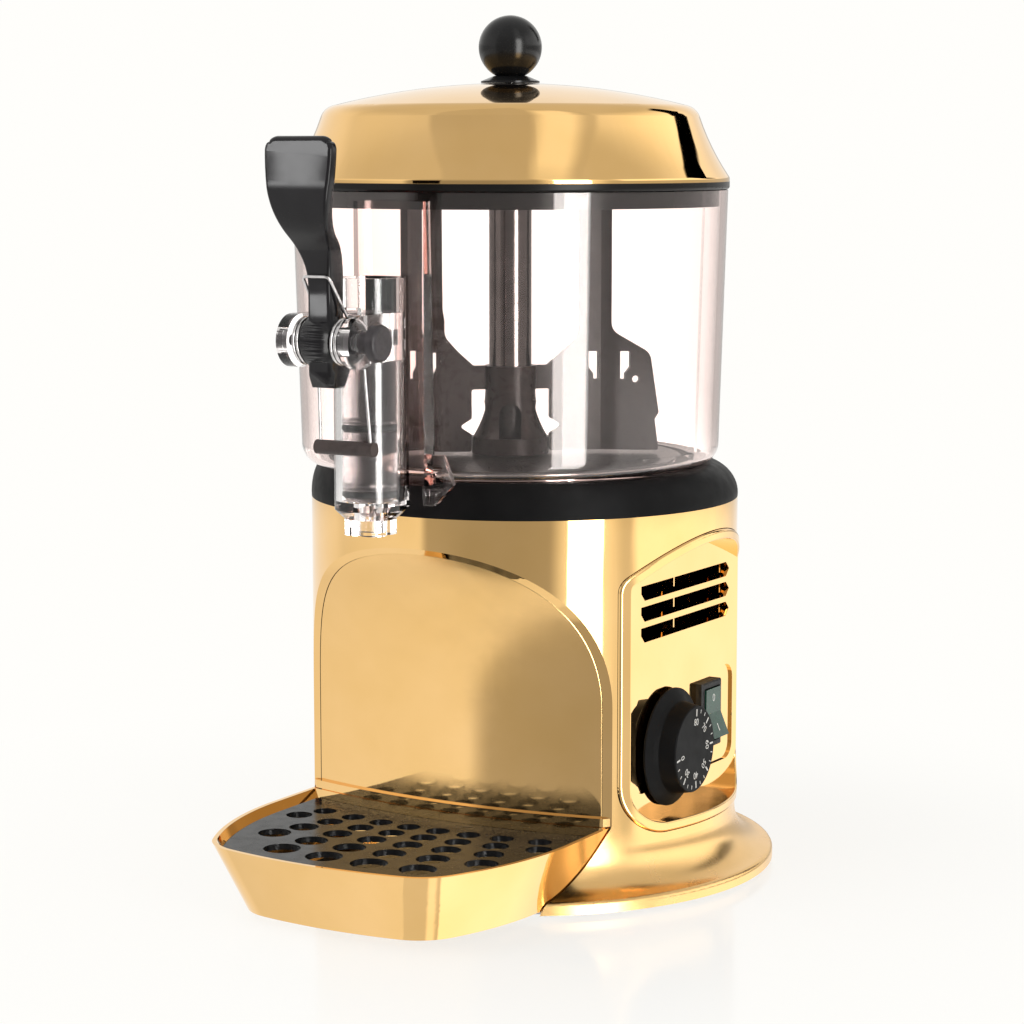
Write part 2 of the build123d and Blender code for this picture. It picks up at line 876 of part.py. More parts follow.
def water_tank():
    tank = post(tank_radius, tank_low, tank_top, y=bowl_axis)
    tank -= post(tank_radius - tank_wall, tank_low + tank_wall, 2 * body_top, y=bowl_axis)
    tank += post(tank_tube_radius, tank_low, tank_top - tank_tube_drop, y=bowl_axis)
    tank -= post(tank_tube_radius - tank_wall, 0, 2 * body_top, y=bowl_axis)
    path = heater_path()
    for end in (path @ 0, path @ 1):
        tank -= post(heater_radius + slip_gap, 0, tank_low + tank_wall, end.X, end.Y)
    return tank


def safety_thermostat():
    x, y = cutout_place
    high = tank_low - fixed_gap
    disc = post(cutout_radius, high - cutout_height, high, x, y)
    disc += block((x - cutout_ear_reach, x + cutout_ear_reach), (y - cutout_ear_half, y + cutout_ear_half),
                  (high - cutout_ear_thickness, high))
    tab_high = high - cutout_height
    for tab_y in (y - cutout_tab_offset, y + cutout_tab_offset):
        disc += block((x - cutout_tab_half_width, x + cutout_tab_half_width),
                      (tab_y - cutout_tab_half, tab_y + cutout_tab_half),
                      (tab_high - cutout_tab_length, tab_high))
    return disc


def spacer_places():
    """Plan points of the four gearbox fixings."""
    span_x, span_y = spacer_half_span
    return [(x, bowl_axis + y) for x in (-span_x, span_x) for y in (-span_y, span_y)]


def motor_spacers():
    spacers = []
    for x, y in spacer_places():
        spacer = post(spacer_radius, gearbox_top, tank_low, x, y)
        spacers.append(spacer - post(screw_radius + fixed_gap, 0, body_top, x, y))
    return Compound(spacers)


def gearbox():
    width, depth, height = gearbox_size
    box = block((-width / 2, width / 2), (bowl_axis - depth / 2, bowl_axis + depth / 2),
                (gearbox_low, gearbox_top))
    box = fillet(box.edges().filter_by(Axis.Z), gearbox_round)
    for x, y in spacer_places():
        box -= post(screw_radius + fixed_gap, 0, body_top, x, y)
    hole = shaft_radius + running_gap
    return box - post(hole, gearbox_top - shaft_in_gearbox, body_top, y=bowl_axis)


def gearbox_screws():
    screws = []
    for x, y in spacer_places():
        head = post(screw_head_radius, gearbox_low - screw_head_height, gearbox_low, x, y)
        screws.append(head + post(screw_radius, gearbox_low, tank_low - fixed_gap, x, y))
    return Compound(screws)


def gear_motor():
    low = gearbox_low - motor_length
    can = post(motor_radius, low, gearbox_low, y=bowl_axis)
    can = fillet(can.edges().group_by(Axis.Z)[0], motor_round)
    can += post(motor_boss_radius, low - motor_boss_height, low, y=bowl_axis)
    for x, y in spacer_places():
        can -= post(screw_head_radius + motor_notch_gap, gearbox_low - motor_notch_depth, gearbox_low, x, y)
    return can


def hexagon_post(across, low, high, y):
    """An upright hexagonal bar."""
    return extrude(Pos(0, y, low) * RegularPolygon(across / 2, 6, major_radius=False), high - low)


def drive_shaft():
    low = gearbox_top - shaft_in_gearbox + fixed_gap
    shaft = post(shaft_radius, low, column_top, y=bowl_axis)
    return shaft + hexagon_post(shaft_hex, column_top, column_top + shaft_hex_length, bowl_axis)


def column_bushes():
    bushes = []
    for low in (pan_top - column_tail, column_top - bush_length):
        bush = post(column_bore - running_gap, low, low + bush_length, y=bowl_axis)
        bushes.append(bush - post(shaft_radius + running_gap, 0, 2 * column_top, y=bowl_axis))
    return Compound(bushes)


def stirrer_tube():
    low = pan_top + ring_low_rise - stirrer_tube_tail
    tube = post(stirrer_tube_radius, low, stirrer_top, y=bowl_axis)
    tube = fillet(tube.edges().group_by(Axis.Z)[-1], stirrer_tube_round)
    return tube - post(stirrer_tube_bore, 0, 2 * stirrer_top, y=bowl_axis)


def drive_cap():
    low = stirrer_top - cap_length
    cap = post(stirrer_tube_bore - fixed_gap, low, stirrer_top, y=bowl_axis)
    return cap - hexagon_post(shaft_hex + socket_gap, low, low + cap_socket, bowl_axis)


def stirrer_bell():
    """Bell-shaped hub foot with arched windows, under the blade ring."""
    low = pan_top + bell_low_rise
    foot_top = low + bell_foot_height
    high = pan_top + ring_low_rise
    outer_top = ring_radius - bell_top_inset
    inner_top = stirrer_tube_radius + fixed_gap
    inner_foot = bell_foot_radius - bell_wall
    flare = TangentArc((outer_top, high), (bell_foot_radius, foot_top), tangent=(0, -1))
    inner_flare = TangentArc((inner_top, high), (inner_foot, foot_top), tangent=(0, -1))
    rest = Polyline((outer_top, high), (inner_top, high))
    foot = Polyline(
        (bell_foot_radius, foot_top),
        (bell_foot_radius, low),
        (inner_foot, low),
        (inner_foot, foot_top),
    )
    bell = turned(flare, inner_flare, rest, foot, axis_y=bowl_axis)
    for window in range(bell_windows):
        arch = Pos(0, foot_top + bell_window_height) * Circle(bell_window_radius)
        arch += Pos(0, foot_top + bell_window_height / 2) * Rectangle(2 * bell_window_radius,
                                                                     bell_window_height)
        cutter = side_prism(arch, stirrer_tube_radius + fixed_gap, 2 * bell_foot_radius)
        turn = blade_turn + bell_window_turn + window * 360 / bell_windows
        bell -= Pos(0, bowl_axis, 0) * Rot(0, 0, turn) * cutter
    return bell


def blade_outline():
    """One blade seen flat, in radius and height, with its keyholes and small round hole."""
    low = pan_top + blade_low_rise
    ring_low = pan_top + ring_low_rise
    ring_high = ring_low + ring_height
    arm_top = pan_top + blade_arm_top_rise
    notch = low + blade_notch_rise
    outline = make_face(Polyline(
        (stirrer_tube_radius, ring_low),
        (stirrer_tube_radius, ring_high),
        (blade_neck, ring_high),
        (blade_arm_inner, ring_low + blade_neck_rise),
        (blade_arm_inner, arm_top),
        (blade_arm_outer, arm_top),
        (blade_arm_outer, ring_low + blade_shoulder_high),
        (blade_tip_radius - blade_tip_lean, ring_low + blade_shoulder_low),
        (blade_tip_radius, notch + blade_notch_height),
        (blade_tip_radius - blade_notch_depth, notch),
        (blade_tip_radius, low),
        (blade_inner_edge, low),
        (blade_inner_edge, low + blade_bay_rise - blade_bay_half),
        (blade_inner_edge + blade_bay_depth, low + blade_bay_rise),
        (blade_inner_edge, low + blade_bay_rise + blade_bay_half),
        (blade_inner_edge, ring_low),
        close=True,
    ).edges())
    shoulders = outline.vertices().filter_by(lambda vertex: ring_high < vertex.Y < arm_top)
    outline = fillet(shoulders.filter_by(lambda vertex: vertex.Y > ring_high + 1), blade_shoulder_round)
    corners = outline.vertices().filter_by(
        lambda vertex: vertex.X > ring_radius and (vertex.Y > arm_top - 1 or vertex.Y < ring_high + 1))
    outline = fillet(corners, blade_round)
    for place, side in keyhole_places:
        outline -= Pos(place, ring_low + keyhole_rise) * keyhole(side)
    return outline - Pos(blade_hole_place, ring_low + blade_hole_rise) * Circle(blade_hole_radius)


def keyhole(side):
    """A slot from its foot upwards, wide on top, drawn in to a narrow neck on one side."""
    straight = -side * keyhole_half_width
    wide = side * keyhole_half_width
    neck = straight + side * keyhole_neck_width
    shoulder = keyhole_neck_height + keyhole_taper
    top = shoulder + keyhole_head_height
    return make_face(Polyline(
        (straight, 0),
        (neck, 0),
        (neck, keyhole_neck_height),
        (wide, shoulder),
        (wide, top),
        (straight, top),
        close=True,
    ).edges())


def stirrer_blades():
    ring_low = pan_top + ring_low_rise
    high = 2 * stirrer_top
    thick = (-blade_thickness / 2, blade_thickness / 2)
    strip = block((stirrer_tube_radius, blade_bend_radius), thick, (0, high))
    wing = block((0, blade_bend_radius), thick, (0, high))
    strip += Pos(blade_bend_radius, 0, 0) * Rot(0, 0, blade_bend) * wing
    strip += post(blade_thickness / 2, 0, high, blade_bend_radius)
    blade = strip & extrude(Plane.XZ * blade_outline(), blade_tip_radius, both=True)
    ring = post(ring_radius, ring_low, ring_low + ring_height)
    bore = post(stirrer_tube_radius + fixed_gap, 0, high)
    blades = ring + blade + Rot(0, 0, 180) * blade - bore
    return Pos(0, bowl_axis, 0) * Rot(0, 0, blade_turn) * blades


def bowl_wall_form(inset, low, corner):
    """The bowl's tapered body as a solid, inset evenly from its outer face."""
    slope = (bowl_top_radius - bowl_foot_radius) / bowl_height
    foot = bowl_foot_radius + slope * (low + corner - bowl_seat) - inset
    top = bowl_top_radius - inset
    bend = TangentArc((foot - corner, low), (foot, low + corner), tangent=(1, 0))
    rest = Polyline(bend @ 1, (top, bowl_top), (0, bowl_top), (0, low), bend @ 0)
    return turned(bend, rest, axis_y=bowl_axis)


def clear_bowl():
    bowl = bowl_wall_form(0.0, bowl_seat, bowl_corner)
    bowl += block((-pad_half_width, pad_half_width), (pad_face, bowl_axis - bowl_opening),
                  (bowl_seat, bowl_top - pad_top_gap))
    tab_rear = pad_face + tab_set_back + tab_thickness
    tip_outer = pad_half_width + tab_tip_offset
    tab = make_face(Polyline(
        (pad_half_width - tab_root, bowl_seat + tab_rise),
        (pad_half_width + tab_width / 2, bowl_seat + tab_rise),
        (pad_half_width + tab_width, bowl_seat),
        (tip_outer, bowl_seat - tab_drop),
        (tip_outer - tab_tip_width, bowl_seat - tab_drop),
        (tip_outer - tab_tip_width - tab_tip_offset, bowl_seat - tab_heel_drop),
        (pad_half_width - tab_tip_width, bowl_seat + tab_root),
        close=True,
    ).edges())
    tab = Pos(0, tab_rear, 0) * extrude(Plane.XZ * tab, tab_thickness)
    bowl += tab + mirror(tab, about=Plane.YZ)
    bowl -= bowl_wall_form(bowl_wall, bowl_seat + bowl_floor, bowl_corner - bowl_wall)
    bowl -= post(bowl_opening, 0, bowl_seat + 2 * bowl_floor, y=bowl_axis)
    return bowl - front_bar(port_radius, 2 * pad_face, bowl_axis, 0, port_z)


def tap_body():
    spout_low = bowl_seat - spout_tip_drop
    shoulder = tube_floor_top - tube_floor
    body = post(tube_radius, shoulder, tube_top, y=tap_axis)
    body += block((-web_half_width, web_half_width), (tap_axis, pad_face), (shoulder, tube_top))
    funnel = extrude(Circle(tube_radius), spout_shoulder, dir=(0, 0, -1), taper=45)
    body += Pos(0, tap_axis, shoulder) * funnel
    for quarter in range(4):
        x, y = around(spout_lobe_offset, 45 + 90 * quarter, tap_axis)
        body += post(spout_lobe, spout_low, shoulder, x, y)
    ear = cross_bar(ear_radius, ear_inner, ear_outer, pivot_y, pivot_z)
    ear += block((ear_inner, ear_outer), (pivot_y, tap_axis), (pivot_z - arm_below, pivot_z + arm_above))
    body += ear + mirror(ear, about=Plane.YZ)
    body -= post(tube_bore, tube_floor_top, 2 * tube_top, y=tap_axis)
    body -= post(outlet_radius, 0, tube_top, y=tap_axis)
    body -= front_bar(port_radius, tap_axis, bowl_axis, 0, port_z)
    body -= cross_bar(pin_radius + fixed_gap, -2 * ear_outer, 2 * ear_outer, pivot_y, pivot_z)
    slot_reach = pivot_ahead - tube_bore
    slot_top = slot_reach * math.tan(math.radians(lever_swing)) + tail_thickness / 2 + tail_slot_room
    slot_half = tail_half_width + tail_slot_margin
    body -= block((-slot_half, slot_half), (pivot_y, tap_axis),
                  (pivot_z - tail_thickness / 2 - tail_slot_room, pivot_z + slot_top))
    return body & block((-body_radius, body_radius), (2 * pivot_y, pad_face), (0, 2 * tube_top))


def pivot_pin():
    left = -ear_outer
    right = ear_outer
    neck_end = right + pin_neck_length
    head_end = neck_end + pin_head_height
    shape = Polyline(
        (left - pin_tip_length, 0),
        (left - pin_tip_length, pin_tip_radius),
        (left, pin_tip_radius),
        (left, pin_radius),
        (right + fixed_gap, pin_radius),
        (right + fixed_gap, pin_neck_radius),
        (neck_end, pin_neck_radius),
        (neck_end, pin_head_radius),
        (head_end, pin_head_radius),
        (head_end, 0),
        close=True,
    )
    pin = turned_sideways(shape, y=pivot_y, z=pivot_z)
    rim = pin.edges().filter_by(GeomType.CIRCLE).group_by(Axis.X)[-1]
    return fillet(rim, pin_head_round)


def s_bend(start, end):
    """Two equal arcs that leave and arrive upright."""
    middle = ((start[0] + end[0]) / 2, (start[1] + end[1]) / 2)
    first = TangentArc(start, middle, tangent=(0, 1))
    return first, TangentArc(middle, end, tangent=first % 1)


def lever_side():
    """The lever from the side, in Y and height from its pivot."""
    front_low = (-lever_front, lever_bend_low)
    front_high = (-lever_front - lever_bend_throw, lever_bend_high)
    back_low = (lever_back, lever_bend_low)
    back_high = (front_high[0] + paddle_thickness, lever_bend_high)
    top_front = (front_high[0] + paddle_lean, lever_bend_high + paddle_straight)
    top_back = (back_high[0] + paddle_lean / 2, lever_bend_high + paddle_straight)
    crown = ((top_front[0] + top_back[0]) / 2, top_front[1] + paddle_thickness / 2)
    front = s_bend(front_low, front_high)
    back = s_bend(back_low, back_high)
    foot = Polyline(
        front_low,
        (-lever_front, -lever_heel_drop),
        (-lever_foot_front, -lever_foot_drop),
        (lever_foot_back, -lever_foot_drop),
        (lever_heel_back, -lever_heel_drop),
        (lever_heel_back, 0),
        (lever_back, lever_boss_radius),
        back_low,
    )
    top = ThreePointArc(top_front, crown, top_back)
    return closed(*front, Line(front_high, top_front), top, Line(top_back, back_high), *back, foot)


def lever_face():
    """The lever from the front, in X and height from its pivot."""
    top = lever_bend_high + paddle_straight + paddle_thickness
    foot = -2 * lever_foot_drop
    widest = top - paddle_corner
    waist = (lever_half_width, lever_bend_low - lever_waist_drop)
    middle = (lever_mid_half_width, lever_mid_rise)
    flare = Spline(waist, middle, (paddle_half_width, widest), tangents=((0, 1), (0, 1)))
    outline = closed(
        flare,
        mirror(flare, about=Plane.YZ),
        Polyline(waist, (lever_half_width, foot), (-lever_half_width, foot), (-lever_half_width, waist[1])),
        Polyline((paddle_half_width, widest), (paddle_half_width, top), (-paddle_half_width, top),
                 (-paddle_half_width, widest)),
    )
    corners = outline.vertices().filter_by(lambda vertex: vertex.Y > top - 1)
    return fillet(corners, paddle_corner - fixed_gap)


def lowest(edge):
    """The least height of an edge's ends and middle."""
    return min((edge @ part).Z for part in (0, 0.5, 1))


def tap_lever():
    reach = 3 * lever_bend_throw
    bar = extrude(Plane.YZ * lever_side(), reach, both=True)
    bar &= extrude(Plane.XZ * lever_face(), reach, both=True)
    bar = fillet(bar.edges().filter_by(lambda edge: lowest(edge) > lever_hub_radius), lever_edge_round)
    boss_half = ear_inner - lever_boss_gap
    bar += cross_bar(lever_hub_radius, -lever_hub_half, lever_hub_half, 0, 0)
    bar += cross_bar(lever_boss_radius, -boss_half, boss_half, 0, 0)
    tail = (-tail_thickness / 2, tail_thickness / 2)
    bar += block((-tail_half_width, tail_half_width), (0, pivot_ahead), tail)
    bar += cross_bar(tail_end_radius, -tail_half_width, tail_half_width, pivot_ahead, 0)
    bar -= cross_bar(pin_radius + running_gap, -reach, reach, 0, 0)
    return Pos(0, pivot_y, pivot_z) * bar


def tangent_angle(y, z, upward):
    """Angle on the coil, from the rear upwards, where a straight leg from a point touches it."""
    spread = math.acos(coil_radius / math.hypot(y, z))
    return math.atan2(z, y) + (spread if upward else -spread)


def coil_point(angle, start_angle, outer):
    """A point of the right coil and the direction of the wire there."""
    x = outer - coil_pitch * (angle - start_angle) / math.tau
    point = Vector(x, pivot_y + coil_radius * math.cos(angle), pivot_z + coil_radius * math.sin(angle))
    along = Vector(-coil_pitch / math.tau, -coil_radius * math.sin(angle), coil_radius * math.cos(angle))
    return point, along.normalized()


def biarc(start, start_way, end, end_way):
    """Two arcs that join two points in two given directions."""
    span = end - start
    both = start_way + end_way
    square = 2 * (start_way.dot(end_way) - 1)
    linear = -2 * span.dot(both)
    constant = span.dot(span)
    reach = (-linear - math.sqrt(linear ** 2 - 4 * square * constant)) / (2 * square)
    if reach < 0:
        reach = (-linear + math.sqrt(linear ** 2 - 4 * square * constant)) / (2 * square)
    middle = (start + start_way * reach + end - end_way * reach) / 2
    first = TangentArc(start, middle, tangent=start_way)
    return [first, TangentArc(middle, end, tangent=first % 1)]


def bend(before, corner, after):
    """Tangent points and arc of one bend of the wire at a corner."""
    arriving = (corner - before).normalized()
    leaving = (after - corner).normalized()
    turn = math.acos(arriving.dot(leaving))
    setback = wire_bend * math.tan(turn / 2)
    first = corner - arriving * setback
    last = corner + leaving * setback
    return first, last, TangentArc(first, last, tangent=arriving)


def right_wire():
    """The right half of the spring, from the sleeve to the middle of the upper bail."""
    sleeve_y = tap_axis - tube_radius - sleeve_radius - slip_gap
    sleeve_z = pivot_z - sleeve_drop
    first_angle = tangent_angle(sleeve_y - pivot_y, -sleeve_drop, True)
    last_angle = tangent_angle(-bail_ahead, bail_rise, False) + coil_turns * math.tau
    outer = coil_inner + coil_pitch * (last_angle - first_angle) / math.tau
    start, start_way = coil_point(first_angle, first_angle, outer)
    end, end_way = coil_point(last_angle, first_angle, outer)
    low = start - start_way * ((start.Z - sleeve_z) / start_way.Z)
    high = end + end_way * ((pivot_z + bail_rise - end.Z) / end_way.Z)
    inside = Vector(wire_end, low.Y, low.Z)
    middle = Vector(0, high.Y, high.Z)
    low_first, low_last, low_bend = bend(inside, low, start)
    high_first, high_last, high_bend = bend(end, high, middle)
    edges = [Line(inside, low_first), low_bend, Line(low_last, start)]
    steps = 4 * coil_turns
    for step in range(steps):
        angles = [first_angle + (last_angle - first_angle) * part / steps for part in (step, step + 1)]
        here, here_way = coil_point(angles[0], first_angle, outer)
        there, there_way = coil_point(angles[1], first_angle, outer)
        edges += biarc(here, here_way, there, there_way)
    return edges + [Line(end, high_first), high_bend], high_last


def wire_path():
    """The whole spring wire as one line, mirrored about the middle of the bail."""
    right, bail_end = right_wire()
    left = [mirror(edge, about=Plane.YZ) for edge in right]
    bail = Line(bail_end, (-bail_end.X, bail_end.Y, bail_end.Z))
    return Wire([edge.edge() for edge in [*right, bail, *left]])


def tap_spring():
    path = wire_path()
    start = path @ 0
    way = path % 0
    points = [path @ (index / gap_samples) for index in range(gap_samples + 1)]
    apart = int(gap_samples * 10 * wire_radius / path.length)
    least = min((points[one] - points[two]).length
                for one in range(gap_samples) for two in range(one + apart, gap_samples + 1))
    print("spring: least gap to itself", round(least - 2 * wire_radius, 2), "mm")
    return sweep(Plane(origin=start, z_dir=way) * Circle(wire_radius), path=path)


def spring_sleeve():
    y = tap_axis - tube_radius - sleeve_radius - slip_gap
    z = pivot_z - sleeve_drop
    sleeve = cross_bar(sleeve_radius, -sleeve_half, sleeve_half, y, z)
    bore = wire_radius + slip_gap
    right, bail_end = right_wire()
    leg = right[2] @ 0
    leg_in = leg.X - wire_bend - bore
    leg_out = leg.X + bore
    sleeve -= cross_bar(bore, -leg_out, leg_out, y, z)
    slot = block((leg_in, leg_out), (y - bore, y + bore), (z, z + 2 * sleeve_radius))
    return sleeve - slot - mirror(slot, about=Plane.YZ)


def tap_piston():
    radius = tube_bore - piston_gap
    low = tube_floor_top + fixed_gap
    high = tube_top - piston_top_gap
    piston = post(radius, low, high, y=tap_axis)
    piston = chamfer(piston.edges().group_by(Axis.Z)[0], piston_nose)
    for rise in seal_ring_rises:
        centre = bowl_seat - tube_floor_drop - piston_low + rise
        half_groove = seal_groove_height / 2
        groove = post(tube_radius, centre - half_groove, centre + half_groove, y=tap_axis)
        core = radius + piston_gap - running_gap - 2 * seal_ring_radius - fixed_gap
        piston -= groove - post(core, 0, 2 * high, y=tap_axis)
    half = tail_end_radius + notch_gap
    rear = half + notch_rear_gap
    dip = tube_radius * math.tan(math.radians(lever_swing + notch_spare_swing))
    notch = closed(Polyline(
        (rear, half),
        (rear, -half),
        (0, -half),
        (-tube_radius, -half - dip),
        (-tube_radius, half),
        close=True,
    ))
    slot_half = tail_half_width + slip_gap
    notch = extrude(Plane.YZ * notch, slot_half, both=True)
    return piston - Pos(0, tap_axis, pivot_z) * notch


def piston_seals():
    seals = []
    for rise in seal_ring_rises:
        centre = bowl_seat - tube_floor_drop - piston_low + rise
        reach = tube_bore - running_gap - seal_ring_radius
        seals.append(Pos(0, tap_axis, centre) * Torus(reach, seal_ring_radius))
    return Compound(seals)


def lid_line(inset, edge):
    """Half profile of the lid's outer or inner face: a hollowed skirt and a dome."""
    foot = Vector(bowl_top_radius + lid_over - inset, lid_low + edge)
    shoulder = Vector(lid_shoulder_radius - inset, lid_low + lid_shoulder_rise - inset * lid_wall_lean)
    slant = shoulder - foot
    inward = Vector(-slant.Y, slant.X).normalized()
    skirt = ThreePointArc(foot, (foot + shoulder) / 2 + inward * lid_skirt_hollow, shoulder)
    dome = TangentArc((0, lid_top - inset), shoulder, tangent=(1, 0))
    return skirt, dome, foot


def lid_shell():
    plug_outer = bowl_top_radius - bowl_wall - lid_plug_gap
    skirt, dome, foot = lid_line(0.0, lid_edge)
    inner_skirt, inner_dome, inner_foot = lid_line(lid_wall, lid_edge + lid_ledge)
    rim = bowl_top_radius + lid_over
    edge = Polyline(
        foot,
        (rim, lid_low),
        (plug_outer, lid_low),
        (plug_outer, lid_low - lid_plug_depth),
        (plug_outer - lid_wall, lid_low - lid_plug_depth),
        (plug_outer - lid_wall, inner_foot.Y),
        inner_foot,
    )
    face = closed(skirt, dome, Line(dome @ 0, inner_dome @ 0), inner_dome, inner_skirt, edge)
    shoulders = face.vertices().filter_by(
        lambda vertex: abs(vertex.X - lid_shoulder_radius) < 2 * lid_wall
        and vertex.Y > lid_low + 2 * lid_edge)
    face = fillet(shoulders, lid_shoulder_round)
    rim_corners = face.vertices().filter_by(lambda vertex: vertex.X > rim - fixed_gap)
    face = fillet(rim_corners, lid_edge_round)
    lid = Pos(0, bowl_axis, 0) * revolve(Plane.XZ * face, Axis.Z)
    return lid - post(lid_screw_radius + fixed_gap, lid_low, 2 * lid_top, y=bowl_axis)


def lid_washer():
    profile = Polyline(
        (lid_screw_radius + fixed_gap, lid_top + fixed_gap),
        (washer_radius, lid_top + fixed_gap),
        (washer_radius, lid_top + washer_edge),
        (washer_seat_radius, lid_top + washer_height),
        (lid_screw_radius + fixed_gap, lid_top + washer_height),
        close=True,
    )
    return turned(profile, axis_y=bowl_axis)


def lid_knob():
    centre = lid_top + ball_rise
    seat = lid_top + washer_height
    knob = Pos(0, bowl_axis, centre) * Sphere(ball_radius)
    knob -= post(ball_radius, 0, seat, y=bowl_axis)
    return knob - post(lid_screw_radius + fixed_gap, 0, seat + lid_screw_depth, y=bowl_axis)


def lid_screw():
    ceiling = lid_top - lid_wall - fixed_gap
    head = post(lid_screw_head, ceiling - lid_screw_head_height, ceiling, y=bowl_axis)
    high = lid_top + washer_height + lid_screw_depth - fixed_gap
    return head + post(lid_screw_radius, ceiling, high, y=bowl_axis)


def thermostat_body():
    rear = panel_floor - panel_floor_thickness - fixed_gap
    body = block((rear - thermostat_depth, rear), (knob_side - thermostat_half, knob_side + thermostat_half),
                 (knob_height_z - thermostat_half, knob_height_z + thermostat_half))
    body = fillet(body.edges().filter_by(Axis.X), thermostat_round)
    body += cross_bar(thermostat_bush_radius, rear, knob_back - slip_gap, knob_side, knob_height_z)
    bore = spindle_radius + running_gap
    hole_end = rear - spindle_in_body - fixed_gap
    return body - cross_bar(bore, hole_end, 2 * body_radius, knob_side, knob_height_z)


def thermostat_spindle():
    rear = panel_floor - panel_floor_thickness - fixed_gap
    front = knob_back + spindle_in_knob - fixed_gap
    return cross_bar(spindle_radius, rear - spindle_in_body, front, knob_side, knob_height_z)


def thermostat_knob():
    face = knob_back + knob_height
    skirt_top = knob_back + knob_skirt_height
    shape = closed(Polyline(
        (knob_back, 0),
        (knob_back, knob_skirt_radius),
        (knob_back + knob_skirt_edge, knob_skirt_radius),
        (skirt_top, knob_face_radius + knob_waist_reach),
        (skirt_top + knob_body_rise, knob_face_radius + knob_body_reach),
        (face, knob_face_radius),
        (face, 0),
        close=True,
    ))
    waist = shape.vertices().filter_by(lambda vertex: skirt_top <= vertex.X < face)
    shape = fillet(waist, knob_waist_round)
    knob = Pos(0, knob_side, knob_height_z) * revolve(shape, Axis.X)
    rim = knob.edges().filter_by(GeomType.CIRCLE).group_by(Axis.X)[-1]
    knob = fillet(rim, knob_face_round)
    bore = spindle_radius + fixed_gap
    return knob - cross_bar(bore, 0, knob_back + spindle_in_knob, knob_side, knob_height_z)


def switch_rectangle(inset):
    """A rectangle in line with the switch, in Y and height."""
    size = Rectangle(2 * (switch_half_width - inset), 2 * (switch_half_height - inset))
    return Pos(switch_side, switch_height_z) * size


def switch_housing():
    front = plate_floor + switch_proud
    frame = side_prism(switch_rectangle(0.0), plate_floor, front)
    frame = chamfer(frame.edges().group_by(Axis.X)[-1], switch_edge)
    frame += side_prism(switch_rectangle(switch_body_inset), plate_floor - switch_body_depth, plate_floor)
    well = Rectangle(2 * (rocker_half_width + slip_gap), 2 * (rocker_half_height + rocker_well_gap))
    well = Pos(switch_side, switch_height_z) * well
    frame -= side_prism(well, plate_floor - rocker_well_depth, front)
    pin_reach = rocker_half_width + rocker_pin_length + fixed_gap
    pin_hole = rocker_pin_radius + running_gap
    left = switch_side - pin_reach
    return frame - front_bar(pin_hole, left, left + 2 * pin_reach, rocker_axis_x, switch_height_z)


def switch_rocker():
    side = make_face(Polyline(
        (rocker_peak, rocker_half_height),
        (rocker_dip, 0),
        (rocker_peak, -rocker_half_height),
        (0, -rocker_half_height),
        (-rocker_back, -rocker_back),
        (-rocker_back, rocker_back),
        (0, rocker_half_height),
        close=True,
    ).edges())
    rocker = extrude(Plane.XZ * side, rocker_half_width, both=True)
    reach = rocker_half_width + rocker_pin_length
    rocker += front_bar(rocker_pin_radius, -reach, reach, 0, 0)
    return Pos(rocker_axis_x, switch_side, switch_height_z) * Rot(0, -rocker_tilt, 0) * rocker


def cord_gland():
    face = body_radius + fixed_gap
    gland = front_bar(gland_flange_radius, face, face + gland_flange, 0, gland_height)
    gland = fillet(gland.edges().group_by(Axis.Y)[-1], gland_flange_round)
    gland += front_bar(gland_barrel_radius, body_radius - gland_inside, face, 0, gland_height)
    nut_front = body_radius - gland_inside + gland_nut_inset
    nut_rear = inner_radius - gland_nut_rear_gap
    gland += front_bar(gland_flange_radius, nut_front, nut_rear, 0, gland_height)
    return gland - front_bar(gland_bore, 0, 2 * body_radius, 0, gland_height)


def terminal_block():
    half = terminal_width / 2
    front = terminal_rear - terminal_depth
    box = block((-half, half), (front, terminal_rear), (plate_top, plate_top + terminal_height))
    box = chamfer(box.edges().group_by(Axis.Z)[-1], terminal_edge)
    for place in (-1, 0, 1):
        x = place * terminal_pitch
        entry_z = plate_top + terminal_height / 2
        box -= front_bar(terminal_entry_radius, 0, body_radius, x, entry_z)
    return box


pieces = [
    body_shell, cup_recess_panel, control_panel, base_plate, rubber_feet, base_screws,
    top_collar, bowl_seal, heated_pan, pan_screws, water_tank, heating_element, safety_thermostat,
    motor_spacers, gearbox, gearbox_screws, gear_motor, column_bushes, drive_shaft,
    thermostat_body, thermostat_spindle, thermostat_knob, switch_housing, switch_rocker,
    cord_gland, terminal_block, drip_tray, drip_grid,
    stirrer_tube, drive_cap, stirrer_bell, stirrer_blades,
    clear_bowl, tap_body, pivot_pin, tap_lever, tap_spring, spring_sleeve, tap_piston, piston_seals,
    lid_shell, lid_washer, lid_knob, lid_screw,
]

os.makedirs("parts", exist_ok=True)
for piece in pieces:
    export_step(piece(), f"parts/{piece.__name__}.step")
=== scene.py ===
import math

import bmesh
import bpy
from mathutils import Matrix, Vector


